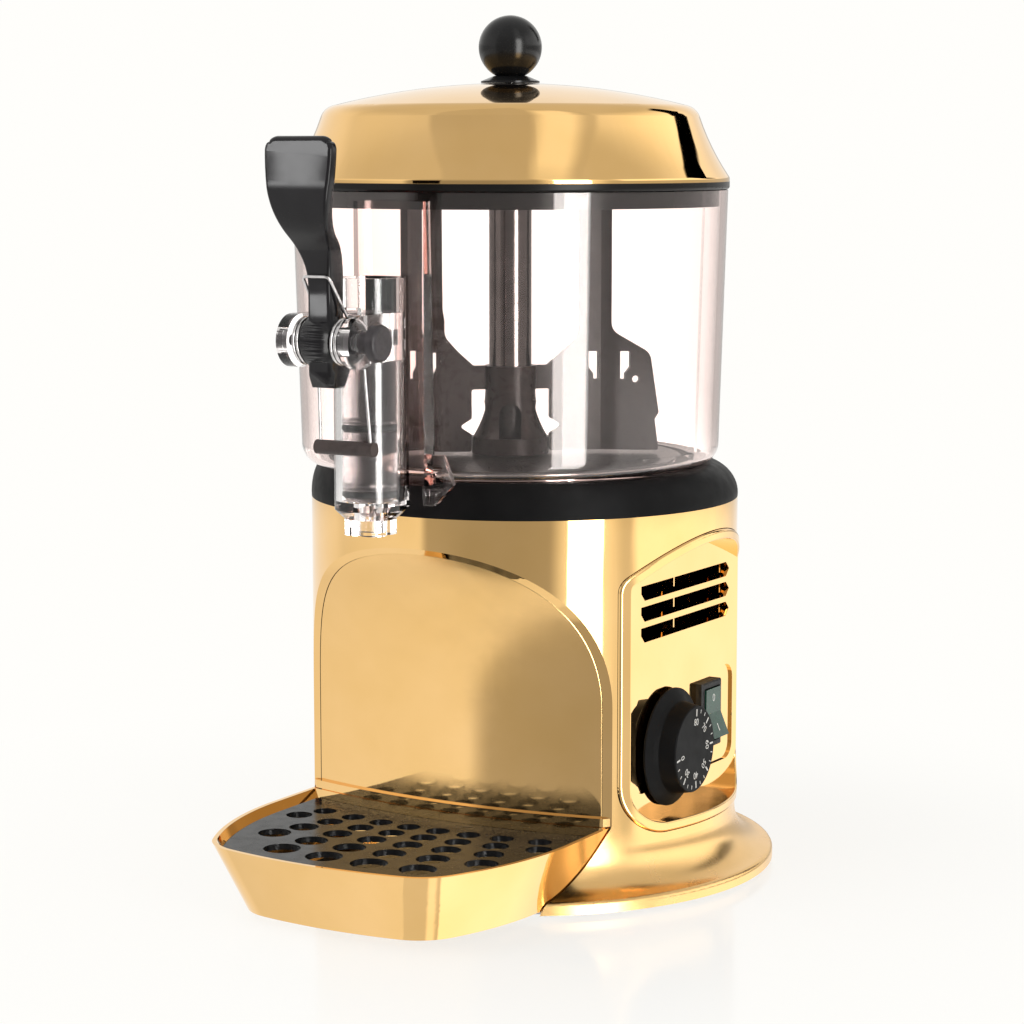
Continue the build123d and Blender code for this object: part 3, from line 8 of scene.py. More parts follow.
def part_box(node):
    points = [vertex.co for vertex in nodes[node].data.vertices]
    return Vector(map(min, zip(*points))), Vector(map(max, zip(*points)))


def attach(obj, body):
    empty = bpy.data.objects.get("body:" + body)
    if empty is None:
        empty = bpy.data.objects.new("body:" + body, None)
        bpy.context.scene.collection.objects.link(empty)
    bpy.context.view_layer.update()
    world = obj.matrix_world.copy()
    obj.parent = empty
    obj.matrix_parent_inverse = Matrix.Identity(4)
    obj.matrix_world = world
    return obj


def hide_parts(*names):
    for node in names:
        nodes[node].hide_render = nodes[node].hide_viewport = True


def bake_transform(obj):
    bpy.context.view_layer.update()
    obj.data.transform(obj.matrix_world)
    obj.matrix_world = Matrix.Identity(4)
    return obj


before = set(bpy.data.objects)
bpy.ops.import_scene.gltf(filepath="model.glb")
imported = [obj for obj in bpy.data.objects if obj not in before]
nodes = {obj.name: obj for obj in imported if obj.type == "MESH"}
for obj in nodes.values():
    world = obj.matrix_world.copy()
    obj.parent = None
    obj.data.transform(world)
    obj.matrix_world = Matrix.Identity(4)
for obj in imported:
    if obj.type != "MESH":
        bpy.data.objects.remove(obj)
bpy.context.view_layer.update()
scene = bpy.context.scene
scene.view_settings.view_transform = "Standard"

# The camera stands a little above the lid's rim, in front and to the right of the machine,
# so that the tap, the cup recess and the control panel all show.
camera_place = (0.70793, -1.22618, 0.36883)
camera_pitch = 0.13216
camera_yaw = math.radians(30) + 0.00464
focal_length, sensor_width = 96.84, 36.0
lens = bpy.data.cameras.new("camera")
lens.lens = focal_length
lens.sensor_width = sensor_width
camera = bpy.data.objects.new("camera", lens)
camera.location = camera_place
camera.rotation_euler = (math.pi / 2 - camera_pitch, 0, camera_yaw)
scene.collection.objects.link(camera)
scene.camera = camera


# The white studio around the machine. Bright paper is behind it and at its sides, the side
# towards the camera is dimmer, a tall white strip stands to the right of the camera,
# and one dark flag stands high behind on the right.
def add_node(tree, kind, **values):
    """A shader node with its sockets set by name."""
    node = tree.nodes.new(kind)
    for name, value in values.items():
        node.inputs[name].default_value = value
    return node


def reckon(tree, operation, *operands):
    """A math node fed by numbers or sockets; returns its result."""
    node = tree.nodes.new("ShaderNodeMath")
    node.operation = operation
    for socket, operand in zip(node.inputs, operands):
        if isinstance(operand, (int, float)):
            socket.default_value = operand
        else:
            tree.links.new(operand, socket)
    return node.outputs[0]


def smooth_step(tree, value, low, high, start=0.0, end=1.0):
    """A soft step from start to end while the value goes from low to high."""
    node = tree.nodes.new("ShaderNodeMapRange")
    node.interpolation_type = "SMOOTHSTEP"
    tree.links.new(value, node.inputs["Value"])
    for name, number in zip(("From Min", "From Max", "To Min", "To Max"), (low, high, start, end)):
        node.inputs[name].default_value = number
    return node.outputs["Result"]


def outside(tree, value, middle, half, soft):
    """0 within half of the middle, rising to 1 over the soft edge beyond it."""
    away = reckon(tree, "ABSOLUTE", reckon(tree, "SUBTRACT", value, middle))
    return smooth_step(tree, away, half, half + soft)


paper_white = (1.0, 0.992, 0.965, 1.0)
room_strength = 0.55
# Brightness of the walls, and of the dim band along them at the camera's height, by the angle
# in degrees from the front towards the right. A ramp holds at most 1, so the levels are scaled in it.
wall_levels = [
    (-180, 1.0, 0.6), (-92, 1.0, 0.65), (-84, 0.9, 0.6), (-60, 0.98, 0.7), (-27, 1.05, 0.9),
    (-23, 0.52, 0.4), (0, 0.45, 0.35), (25, 0.45, 0.35), (43, 0.48, 0.45), (50, 0.8, 0.7),
    (74, 0.85, 0.7), (88, 0.85, 0.6), (92, 1.65, 0.6), (150, 1.6, 0.6), (165, 1.3, 0.6),
    (180, 1.0, 0.6),
]
level_scale = 2.0
# Heights are the upward part of a direction, from -1 straight down to 1 straight up.
band_height, band_half, band_edge = -0.02, 0.085, 0.035
table_level, table_start, table_full = 0.85, -0.75, -0.84
ceiling_level, ceiling_start, ceiling_full = 0.72, 0.35, 0.75
ceiling_share = 0.25
glow_level, glow_low, glow_high = 0.5, 0.84, 0.97
glow_middle, glow_half, glow_edge = math.radians(64.0), math.radians(7.0), math.radians(14.0)
strip_level = 8.0
strip_middle, strip_half, strip_edge = math.radians(62.5), math.radians(9.0), math.radians(1.2)
strip_height, strip_half_height, strip_end = -0.06, 0.48, 0.06
flag_middle, flag_half, flag_edge = math.radians(161), 0.12, 0.03
flag_height, flag_half_height, flag_end = 0.42, 0.22, 0.04

world = bpy.data.worlds.new("studio")
world.use_nodes = True
scene.world = world
tree = world.node_tree
direction = add_node(tree, "ShaderNodeSeparateXYZ")
tree.links.new(add_node(tree, "ShaderNodeTexCoord").outputs["Generated"], direction.inputs[0])
across, along, up = direction.outputs
turn = reckon(tree, "ARCTAN2", across, reckon(tree, "MULTIPLY", along, -1.0))
share = reckon(tree, "ADD", reckon(tree, "DIVIDE", turn, math.tau), 0.5)
walls = tree.nodes.new("ShaderNodeValToRGB")
while len(walls.color_ramp.elements) < len(wall_levels):
    walls.color_ramp.elements.new(0.5)
for stop, (angle, level, band_level) in zip(walls.color_ramp.elements, wall_levels):
    stop.position = angle / 360 + 0.5
    stop.color = (level / level_scale, band_level / level_scale, 0.0, 1.0)
tree.links.new(share, walls.inputs["Fac"])
levels = add_node(tree, "ShaderNodeSeparateColor")
tree.links.new(walls.outputs["Color"], levels.inputs[0])
clear = outside(tree, up, band_height, band_half, band_edge)
band = reckon(tree, "SUBTRACT", 1.0, clear)
wall_level = reckon(tree, "ADD", reckon(tree, "MULTIPLY", levels.outputs["Red"], clear),
                    reckon(tree, "MULTIPLY", levels.outputs["Green"], band))
wall_level = reckon(tree, "MULTIPLY", wall_level, level_scale)
table = smooth_step(tree, up, table_full, table_start, table_level, 0.0)
wall_level = reckon(tree, "MAXIMUM", wall_level, table)
rise = smooth_step(tree, up, ceiling_start, ceiling_full)
wall_below = reckon(tree, "MINIMUM", wall_level, 1.0)
ceiling = reckon(tree, "MULTIPLY", wall_below, ceiling_level * ceiling_share)
ceiling = reckon(tree, "ADD", ceiling, ceiling_level * (1 - ceiling_share))
upper = reckon(tree, "MULTIPLY", rise, ceiling)
lower = reckon(tree, "MULTIPLY", reckon(tree, "SUBTRACT", 1.0, rise), wall_level)
flag = reckon(tree, "MAXIMUM", outside(tree, turn, flag_middle, flag_half, flag_edge),
              outside(tree, up, flag_height, flag_half_height, flag_end))
mirrored = reckon(tree, "MULTIPLY", reckon(tree, "ADD", upper, lower), flag)
strip = reckon(tree, "MAXIMUM", outside(tree, turn, strip_middle, strip_half, strip_edge),
               outside(tree, up, strip_height, strip_half_height, strip_end))
strip = reckon(tree, "MULTIPLY", reckon(tree, "SUBTRACT", 1.0, strip), strip_level)
mirrored = reckon(tree, "ADD", mirrored, strip)
glow = reckon(tree, "SUBTRACT", 1.0, outside(tree, turn, glow_middle, glow_half, glow_edge))
glow = reckon(tree, "MULTIPLY", glow, smooth_step(tree, up, glow_low, glow_high, glow_level, 0.0))
mirrored = reckon(tree, "ADD", mirrored, glow)

# Straight rays see white paper, mirrored ones the walls, and those that were mirrored before they
# left clear plastic a share of the walls.
inner_share = 0.4
path = tree.nodes.new("ShaderNodeLightPath")
through = path.outputs["Is Transmission Ray"]
bounced = reckon(tree, "GREATER_THAN", path.outputs["Glossy Depth"], 0.5)
inner = reckon(tree, "MULTIPLY", through, bounced)
unbent = reckon(tree, "SUBTRACT", through, inner)
straight = reckon(tree, "MAXIMUM", path.outputs["Is Camera Ray"], unbent)
dimmed = reckon(tree, "MULTIPLY", inner, inner_share)
shiny = reckon(tree, "MAXIMUM", path.outputs["Is Glossy Ray"], dimmed)
known = reckon(tree, "MAXIMUM", path.outputs["Is Glossy Ray"], reckon(tree, "MAXIMUM", straight, inner))
other = reckon(tree, "SUBTRACT", 1.0, known)
strength = reckon(tree, "ADD", reckon(tree, "MULTIPLY", shiny, mirrored),
                  reckon(tree, "MULTIPLY", other, room_strength))
backdrop = tree.nodes["Background"]
backdrop.inputs["Color"].default_value = paper_white
tree.links.new(reckon(tree, "ADD", straight, strength), backdrop.inputs["Strength"])


# A tall lamp to the right of the camera and a large soft one above fill in on what isn't metal.
# Neither shows itself, as the walls already hold what the metal mirrors.
def hang_lamp(name, place, target, size, power):
    """A soft rectangular lamp aimed at a point and hidden from the camera; returns its object."""
    lamp = bpy.data.lights.new(name, "AREA")
    lamp.shape = "RECTANGLE"
    lamp.size, lamp.size_y = size
    lamp.energy = power
    holder = bpy.data.objects.new(name, lamp)
    holder.location = place
    holder.rotation_euler = (Vector(target) - Vector(place)).to_track_quat("-Z", "Y").to_euler()
    holder.visible_camera = False
    scene.collection.objects.link(holder)
    return holder


lit_place = (0, 0, 0.2)
strip_lamp = hang_lamp("strip_lamp", (1.45, -0.72, 0.32), lit_place, size=(0.36, 1.1), power=11.0)
top_lamp = hang_lamp("top_lamp", (-0.5, -0.75, 1.6), lit_place, size=(0.9, 0.9), power=14.0)
for lamp in (strip_lamp, top_lamp):
    lamp.visible_glossy = False


# A round sheet of white board that the machine stands on. It is faintly glossy near the machine,
# turns into the white paper towards its edge, and lets the metal mirror the walls beyond it.
def blend_shaders(tree, share, first, second):
    """A mix of two shaders by a socket; returns the mixed shader."""
    mix = tree.nodes.new("ShaderNodeMixShader")
    tree.links.new(share, mix.inputs[0])
    tree.links.new(first, mix.inputs[1])
    tree.links.new(second, mix.inputs[2])
    return mix.outputs[0]


board_radius = 0.75
board_sides = 96
board_near, board_far = 0.12, 0.42
board_white = (0.9, 0.893, 0.87, 1.0)
board_shade = 0.15
board_gloss = 0.1
gloss_white = (1.0, 0.99, 0.97, 1.0)
gloss_roughness = 0.12
board_mesh = bmesh.new()
bmesh.ops.create_circle(board_mesh, cap_ends=True, radius=board_radius, segments=board_sides)
board_data = bpy.data.meshes.new("floor")
board_mesh.to_mesh(board_data)
board_mesh.free()
board = bpy.data.objects.new("floor", board_data)
scene.collection.objects.link(board)
board_finish = bpy.data.materials.new("white_board")
board_finish.use_nodes = True
tree = board_finish.node_tree
tree.nodes.remove(tree.nodes["Principled BSDF"])
paper = add_node(tree, "ShaderNodeBsdfDiffuse", Color=board_white).outputs[0]
gloss = add_node(tree, "ShaderNodeBsdfGlossy", Color=gloss_white, Roughness=gloss_roughness).outputs[0]
white = add_node(tree, "ShaderNodeEmission", Color=paper_white).outputs[0]
spot = tree.nodes.new("ShaderNodeVectorMath")
spot.operation = "LENGTH"
tree.links.new(add_node(tree, "ShaderNodeTexCoord").outputs["Object"], spot.inputs[0])
near = smooth_step(tree, spot.outputs["Value"], board_near, board_far, 1.0, 0.0)
shaded = blend_shaders(tree, reckon(tree, "MULTIPLY", near, board_shade), white, paper)
glossy = blend_shaders(tree, reckon(tree, "MULTIPLY", near, board_gloss), shaded, gloss)
path = tree.nodes.new("ShaderNodeLightPath")
looked_at = reckon(tree, "MAXIMUM", path.outputs["Is Camera Ray"], path.outputs["Is Transmission Ray"])
seen = blend_shaders(tree, looked_at, paper, glossy)
let_by = add_node(tree, "ShaderNodeBsdfTransparent").outputs[0]
tree.links.new(blend_shaders(tree, path.outputs["Is Glossy Ray"], seen, let_by),
               tree.nodes["Material Output"].inputs["Surface"])
board_data.materials.append(board_finish)


# Underneath: a zinc-plated steel base plate with pressed edges, held by screws,
# and four moulded rubber feet pushed into it.
def new_finish(name):
    """A material with one Principled shader; returns the material, its tree and the shader."""
    material = bpy.data.materials.new(name)
    material.use_nodes = True
    return material, material.node_tree, material.node_tree.nodes["Principled BSDF"]


def grain(tree, size, detail=3.0):
    """Cloudy noise whose blotches are about size metres across."""
    noise = add_node(tree, "ShaderNodeTexNoise", Scale=1.0 / size, Detail=detail)
    tree.links.new(add_node(tree, "ShaderNodeTexCoord").outputs["Object"], noise.inputs["Vector"])
    return noise.outputs["Fac"]


def spread(tree, value, low, high):
    """A noise value, which stays near its middle, spread evenly between two levels."""
    node = tree.nodes.new("ShaderNodeMapRange")
    tree.links.new(value, node.inputs["Value"])
    for name, number in zip(("From Min", "From Max", "To Min", "To Max"), (0.3, 0.7, low, high)):
        node.inputs[name].default_value = number
    return node.outputs["Result"]


def colour_mix(tree, share):
    """A mix of two colours by a socket; returns the two colours' sockets and the mixed colour."""
    mix = tree.nodes.new("ShaderNodeMix")
    mix.data_type = "RGBA"
    tree.links.new(share, mix.inputs["Factor"])
    first, second = (socket for socket in mix.inputs if socket.type == "RGBA")
    return first, second, next(socket for socket in mix.outputs if socket.type == "RGBA")


def tint(tree, value, dark, light):
    """A colour between two, by a noise value."""
    first, second, mixed = colour_mix(tree, spread(tree, value, 0.0, 1.0))
    first.default_value = (*dark, 1.0)
    second.default_value = (*light, 1.0)
    return mixed


def dent(tree, shader, height, depth):
    """Bump from a height value, depth in metres."""
    bump = add_node(tree, "ShaderNodeBump", Strength=1.0, Distance=depth)
    tree.links.new(height, bump.inputs["Height"])
    tree.links.new(bump.outputs["Normal"], shader.inputs["Normal"])


def moulded(name, blotch, dark, light, smooth, rough, shine, pits=0.0):
    """A plastic, rubber or coat with cloudy colour, finer clouds of roughness and faint pits."""
    material, tree, skin = new_finish(name)
    tree.links.new(tint(tree, grain(tree, blotch), dark, light), skin.inputs["Base Color"])
    tree.links.new(spread(tree, grain(tree, blotch / 3), smooth, rough), skin.inputs["Roughness"])
    skin.inputs["Specular IOR Level"].default_value = shine
    if pits:
        dent(tree, skin, grain(tree, blotch / 4), pits)
    return material


def metal(name, blotch, dark, light, smooth, rough, pits=0.0):
    """A bare metal with cloudy colour and finer clouds of roughness and pits."""
    material, tree, skin = new_finish(name)
    skin.inputs["Metallic"].default_value = 1.0
    tree.links.new(tint(tree, grain(tree, blotch), dark, light), skin.inputs["Base Color"])
    tree.links.new(spread(tree, grain(tree, blotch / 2), smooth, rough), skin.inputs["Roughness"])
    if pits:
        dent(tree, skin, grain(tree, blotch / 2), pits)
    return material


def wear(material, *names):
    """Gives CAD nodes a finish."""
    for name in names:
        nodes[name].data.materials.clear()
        nodes[name].data.materials.append(material)


zinc_steel = metal("zinc_steel", blotch=0.006, dark=(0.42, 0.43, 0.44), light=(0.6, 0.6, 0.6),
                   smooth=0.28, rough=0.45)
wear(zinc_steel, "base_plate", "base_screws")
soft_rubber = moulded("soft_rubber", blotch=0.002, dark=(0.012, 0.012, 0.012), light=(0.028, 0.027, 0.026),
                      smooth=0.65, rough=0.8, shine=0.3, pits=0.00006)
wear(soft_rubber, "rubber_feet")

# The drum and its side panel are mouldings plated in bright gold, screwed to the base plate.
# The plating mirrors the room with a slight waviness and a few cloudy places, and it is
# duller on the flared foot.
gold_dark = (0.85, 0.535, 0.205)
gold_light = (0.91, 0.585, 0.25)
gold_blotch = 0.05
gold_smooth, gold_rough, polish_blotch = 0.02, 0.06, 0.012
wave_size, wave_detail, wave_depth = 0.035, 1.0, 0.00012
foot_low, foot_high, foot_dull = 0.02, 0.05, 0.22


def plated(name):
    """Bright gold plating; returns the material, its tree and its shader, with roughness unset."""
    material, tree, skin = new_finish(name)
    skin.inputs["Metallic"].default_value = 1.0
    tree.links.new(tint(tree, grain(tree, gold_blotch), gold_dark, gold_light), skin.inputs["Base Color"])
    dent(tree, skin, grain(tree, wave_size, wave_detail), wave_depth)
    return material, tree, skin


def polish(tree):
    """The roughness of bright plating."""
    return spread(tree, grain(tree, polish_blotch), gold_smooth, gold_rough)


def height_of(tree):
    """The height on a node, in metres."""
    place = add_node(tree, "ShaderNodeSeparateXYZ")
    tree.links.new(add_node(tree, "ShaderNodeTexCoord").outputs["Object"], place.inputs[0])
    return place.outputs["Z"]


gold, tree, skin = plated("gold_plate")
foot = smooth_step(tree, height_of(tree), foot_low, foot_high, foot_dull, 0.0)
tree.links.new(reckon(tree, "ADD", polish(tree), foot), skin.inputs["Roughness"])
wear(gold, "body_shell", "control_panel")

# The cup recess is a separate vaulted panel let into the drum's front, plated like it.
# It is bright at its foot and a little duller towards the vault.
recess_foot, recess_vault = 0.05, 0.16
vault_smooth, vault_rough = 0.05, 0.22
cloud_low, cloud_high = 0.8, 1.2
recess_gold, tree, skin = plated("recess_gold")
dull = smooth_step(tree, height_of(tree), recess_foot, recess_vault, vault_smooth, vault_rough)
cloud = spread(tree, grain(tree, polish_blotch), cloud_low, cloud_high)
tree.links.new(reckon(tree, "MULTIPLY", dull, cloud), skin.inputs["Roughness"])
wear(recess_gold, "cup_recess_panel")

# Inside the drum: a steel water tank with its heater rod, thermostats and terminal block,
# and a cast gearbox with its motor on steel spacers, all screwed to the pan and the plate.
wear(zinc_steel, "water_tank", "pan_screws", "gearbox_screws", "motor_spacers", "drive_shaft")
cast_metal = metal("cast_metal", blotch=0.003, dark=(0.2, 0.2, 0.21), light=(0.34, 0.34, 0.35),
                   smooth=0.4, rough=0.6, pits=0.0001)
wear(cast_metal, "gearbox", "gear_motor", "heating_element")
bush_bronze = metal("sintered_bronze", blotch=0.001, dark=(0.35, 0.2, 0.1), light=(0.5, 0.3, 0.16),
                    smooth=0.35, rough=0.5)
wear(bush_bronze, "column_bushes")
black_dull = moulded("black_matte", blotch=0.006, dark=(0.010, 0.010, 0.010), light=(0.020, 0.019, 0.019),
                     smooth=0.45, rough=0.6, shine=0.25, pits=0.00004)
wear(black_dull, "cord_gland", "terminal_block", "thermostat_body", "safety_thermostat")

# The thermostat's knob is a black moulding pushed on the steel spindle. Its face carries
# the marks of the scale, printed in white, with a number at each long mark.
wear(zinc_steel, "thermostat_spindle")
black_satin = moulded("black_satin", blotch=0.02, dark=(0.0048, 0.0048, 0.005), light=(0.008, 0.008, 0.0083),
                      smooth=0.4, rough=0.5, shine=0.06)
wear(black_satin, "thermostat_knob")
print_white = moulded("print_white", blotch=0.001, dark=(0.62, 0.61, 0.58), light=(0.78, 0.77, 0.74),
                      smooth=0.4, rough=0.55, shine=0.3)
knob_centre = Vector((0.1088, -0.0185, 0.0708))
scale_numbers = ["0", "30", "40", "50", "60", "70", "80"]
scale_first, scale_step = 261.5, -42.75
number_radius, number_size = 0.0134, 0.0048
mark_inner, mark_outer, mark_width = 0.0165, 0.0200, 0.0009
minor_inner, minor_width = 0.0182, 0.0005
print_height = 0.00008


def lettering(mesh, words, size, place):
    """Adds a thin solid number or letter, centred at the place's origin and facing its Z."""
    curve = bpy.data.curves.new("lettering", "FONT")
    curve.body = words
    curve.size = size
    curve.align_x = "CENTER"
    curve.align_y = "CENTER"
    curve.extrude = print_height / 2
    holder = bpy.data.objects.new("lettering", curve)
    scene.collection.objects.link(holder)
    bpy.context.view_layer.update()
    solid = bpy.data.meshes.new_from_object(holder.evaluated_get(bpy.context.evaluated_depsgraph_get()))
    solid.transform(place @ Matrix.Translation((0, 0, print_height / 2)))
    mesh.from_mesh(solid)
    bpy.data.objects.remove(holder)
    bpy.data.curves.remove(curve)
    bpy.data.meshes.remove(solid)


def bar(mesh, width, low, high, place):
    """Adds a thin solid stroke along the place's Y, standing on its XY plane."""
    size = Matrix.Diagonal((width, high - low, print_height, 1.0))
    middle = Matrix.Translation((0, (low + high) / 2, print_height / 2))
    bmesh.ops.create_cube(mesh, size=1.0, matrix=place @ middle @ size)


def piece_from(mesh, name, material, body):
    """Makes a finished mesh into a named piece that rides on a body, if one is given."""
    bmesh.ops.recalc_face_normals(mesh, faces=mesh.faces)
    data = bpy.data.meshes.new(name)
    mesh.to_mesh(data)
    mesh.free()
    data.materials.append(material)
    piece = bpy.data.objects.new(name, data)
    scene.collection.objects.link(piece)
    if body:
        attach(piece, body)
    return piece


# Local X runs to the viewer's right, Y upwards and Z out of the panel.
facing_right = Matrix(((0, 0, 1, 0), (1, 0, 0, 0), (0, 1, 0, 0), (0, 0, 0, 1)))
dial_place = Matrix.Translation(knob_centre) @ facing_right
dial = bmesh.new()
for index, words in enumerate(scale_numbers):
    clockwise = scale_first + scale_step * index
    spoke = dial_place @ Matrix.Rotation(math.radians(-clockwise), 4, "Z")
    bar(dial, mark_width, mark_inner, mark_outer, spoke)
    lettering(dial, words, number_size, spoke @ Matrix.Translation((0, number_radius, 0)))
    if index > 0:
        for third in (1, 2):
            between = clockwise - scale_step * third / 3
            spoke = dial_place @ Matrix.Rotation(math.radians(-between), 4, "Z")
            bar(dial, minor_width, minor_inner, mark_outer, spoke)
piece_from(dial, "dial_marks", print_white, "knob")

# The mains switch: a black frame snapped into the panel, with a rocker of green
# translucent plastic on two short pins. Its 0 and I are printed in white.
wear(black_dull, "switch_housing")
green_lens = moulded("green_lens", blotch=0.006, dark=(0.013, 0.052, 0.033), light=(0.022, 0.078, 0.051),
                     smooth=0.16, rough=0.28, shine=0.4)
wear(green_lens, "switch_rocker")
rocker_axis = Vector((0.0930, 0.0250, 0.0795))
rocker_tilt = math.radians(11.0)
rocker_half_height, rocker_peak, rocker_dip = 0.0126, 0.0072, 0.0046
sign_rise = 0.0076
sign_size = 0.0056
stroke_width, stroke_half = 0.0008, 0.0019
tilted = Matrix.Translation(rocker_axis) @ Matrix.Rotation(-rocker_tilt, 4, "Y")
facet_lean = math.atan2(rocker_peak - rocker_dip, rocker_half_height)
facet_height = rocker_dip + (rocker_peak - rocker_dip) * sign_rise / rocker_half_height
signs = bmesh.new()
top_facet = tilted @ Matrix.Translation((facet_height, 0, sign_rise)) @ Matrix.Rotation(facet_lean, 4, "Y")
low_facet = tilted @ Matrix.Translation((facet_height, 0, -sign_rise)) @ Matrix.Rotation(-facet_lean, 4, "Y")
lettering(signs, "0", sign_size, top_facet @ facing_right)
bar(signs, stroke_width, -stroke_half, stroke_half, low_facet @ facing_right)
piece_from(signs, "switch_signs", print_white, "rocker")

# On the drum: a satin black collar with a rubber ring that the bowl stands in,
# and a heated pan with a dark non-stick coat.
wear(black_satin, "top_collar")
wear(soft_rubber, "bowl_seal")
dark_coat = moulded("dark_coating", blotch=0.004, dark=(0.008, 0.0075, 0.0075), light=(0.016, 0.0145, 0.014),
                    smooth=0.25, rough=0.4, shine=0.3)
wear(dark_coat, "heated_pan")

# The stirrer: two scraper blades on a bell of brown-black plastic, moulded round
# a polished steel tube, with a cap that the drive shaft turns.
brown_plastic = moulded("brown_plastic", blotch=0.01, dark=(0.011, 0.008, 0.007),
                        light=(0.019, 0.0138, 0.0125), smooth=0.24, rough=0.36, shine=0.18)
wear(brown_plastic, "stirrer_blades", "stirrer_bell", "drive_cap")
polished_steel = metal("polished_steel", blotch=0.01, dark=(0.13, 0.115, 0.11), light=(0.18, 0.16, 0.155),
                       smooth=0.08, rough=0.16)
wear(polished_steel, "stirrer_tube")

# The bowl and the tap's body are moulded in clear polycarbonate with a faint pink cast,
# which gathers where the light runs a long way through it.
clear_index = 1.5
clear_blotch = 0.02
clear_shadow = (0.93, 0.9, 0.9, 1.0)


def see_through(name, smooth, rough, cast, density):
    """Clear plastic that lets the lamps' light by and absorbs a little on the way through."""
    material, tree, skin = new_finish(name)
    skin.inputs["Base Color"].default_value = (1.0, 1.0, 1.0, 1.0)
    skin.inputs["Transmission Weight"].default_value = 1.0
    skin.inputs["IOR"].default_value = clear_index
    tree.links.new(spread(tree, grain(tree, clear_blotch), smooth, rough), skin.inputs["Roughness"])
    by = add_node(tree, "ShaderNodeBsdfTransparent", Color=clear_shadow).outputs[0]
    shadow = tree.nodes.new("ShaderNodeLightPath").outputs["Is Shadow Ray"]
    out = tree.nodes["Material Output"]
    tree.links.new(blend_shaders(tree, shadow, skin.outputs[0], by), out.inputs["Surface"])
    absorb = add_node(tree, "ShaderNodeVolumeAbsorption", Color=(*cast, 1.0), Density=density)
    tree.links.new(absorb.outputs[0], out.inputs["Volume"])
    return material


clear_plastic = see_through("clear_plastic", smooth=0.0, rough=0.025, cast=(0.95, 0.72, 0.66), density=85.0)
wear(clear_plastic, "clear_bowl")
tap_plastic = see_through("tap_plastic", smooth=0.0, rough=0.025, cast=(0.92, 0.85, 0.84), density=30.0)
wear(tap_plastic, "tap_body")

# The tap's piston slides in its tube, moulded in frosted natural plastic,
# with two rubber rings in its grooves.
frosted_plastic = see_through("natural_plastic", smooth=0.12, rough=0.22, cast=(0.86, 0.8, 0.79),
                              density=60.0)
wear(frosted_plastic, "tap_piston")
wear(soft_rubber, "piston_seals")

# The tap's lever is a glossy black moulding with a broad, slightly crowned paddle for the thumb,
# whose top corners are rounded. It swings on a black pin with a turned head, and a brown sleeve
# covers the ends of its spring. A lamp of its own draws the sheen on the paddle.
paddle_middle, paddle_crown, crown_reach = 0.352, 7.0, 0.03
lever_dark, lever_light = (0.0065, 0.006, 0.0068), (0.011, 0.0102, 0.0115)
lever_blotch, lever_grain = 0.02, 0.006
lever_smooth, lever_rough, lever_shine = 0.14, 0.2, 0.22
lever_black, tree, skin = new_finish("lever_black")
tree.links.new(tint(tree, grain(tree, lever_blotch), lever_dark, lever_light), skin.inputs["Base Color"])
tree.links.new(spread(tree, grain(tree, lever_grain), lever_smooth, lever_rough), skin.inputs["Roughness"])
skin.inputs["Specular IOR Level"].default_value = lever_shine
above = reckon(tree, "SUBTRACT", height_of(tree), paddle_middle)
above = reckon(tree, "MAXIMUM", above, -crown_reach)
crown = reckon(tree, "MULTIPLY", reckon(tree, "MULTIPLY", above, above), -paddle_crown / 2)
dent(tree, skin, reckon(tree, "DIVIDE", crown, wave_depth), wave_depth)

paddle_half, paddle_top = 0.0184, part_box("tap_lever")[1][2]
corner_round, corner_cuts = 0.0066, 8
weld_gap = 1e-6
crease = math.radians(35)
lever = bmesh.new()
lever.from_mesh(nodes["tap_lever"].data)
bmesh.ops.remove_doubles(lever, verts=lever.verts, dist=weld_gap)


def slice_paddle(point, normal):
    """Cuts the faces that reach the paddle's corners along a plane."""
    faces = [face for face in lever.faces if max(v.co.z for v in face.verts) > paddle_top - corner_round]
    parts = {part for face in faces for part in (face, *face.edges, *face.verts)}
    bmesh.ops.bisect_plane(lever, geom=list(parts), dist=weld_gap, plane_co=point, plane_no=normal)


for cut in range(corner_cuts):
    inset = corner_round * (1 - cut / corner_cuts)
    slice_paddle((0, 0, paddle_top - inset), (0, 0, 1))
    slice_paddle((paddle_half - inset, 0, 0), (1, 0, 0))
    slice_paddle((inset - paddle_half, 0, 0), (1, 0, 0))
for vert in lever.verts:
    out = (abs(vert.co.x) - paddle_half) / corner_round + 1
    over = (vert.co.z - paddle_top) / corner_round + 1
    if out > 0 and over > 0:
        pull = max(out, over) / math.hypot(out, over)
        vert.co.x = math.copysign(paddle_half + corner_round * (out * pull - 1), vert.co.x)
        vert.co.z = paddle_top + corner_round * (over * pull - 1)
lever_piece = piece_from(lever, "paddle_lever", lever_black, "lever")
lever_piece.data.shade_smooth()
lever_piece.data.set_sharp_from_angle(angle=crease)
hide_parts("tap_lever")
lever_only = bpy.data.collections.new("lever_only")
lever_only.objects.link(lever_piece)
lever_lamp = hang_lamp("lever_lamp", (-0.51, -0.94, 0.62), (0, -0.2, 0.36), size=(0.3, 0.5), power=5.5)
lever_lamp.light_linking.receiver_collection = lever_only
pin_black = moulded("pin_black", blotch=0.004, dark=(0.030, 0.026, 0.028), light=(0.048, 0.042, 0.045),
                    smooth=0.35, rough=0.5, shine=0.4)
wear(pin_black, "pivot_pin")
sleeve_brown = moulded("sleeve_brown", blotch=0.004, dark=(0.038, 0.027, 0.025), light=(0.058, 0.042, 0.039),
                       smooth=0.45, rough=0.6, shine=0.4, pits=0.00003)
wear(sleeve_brown, "spring_sleeve")

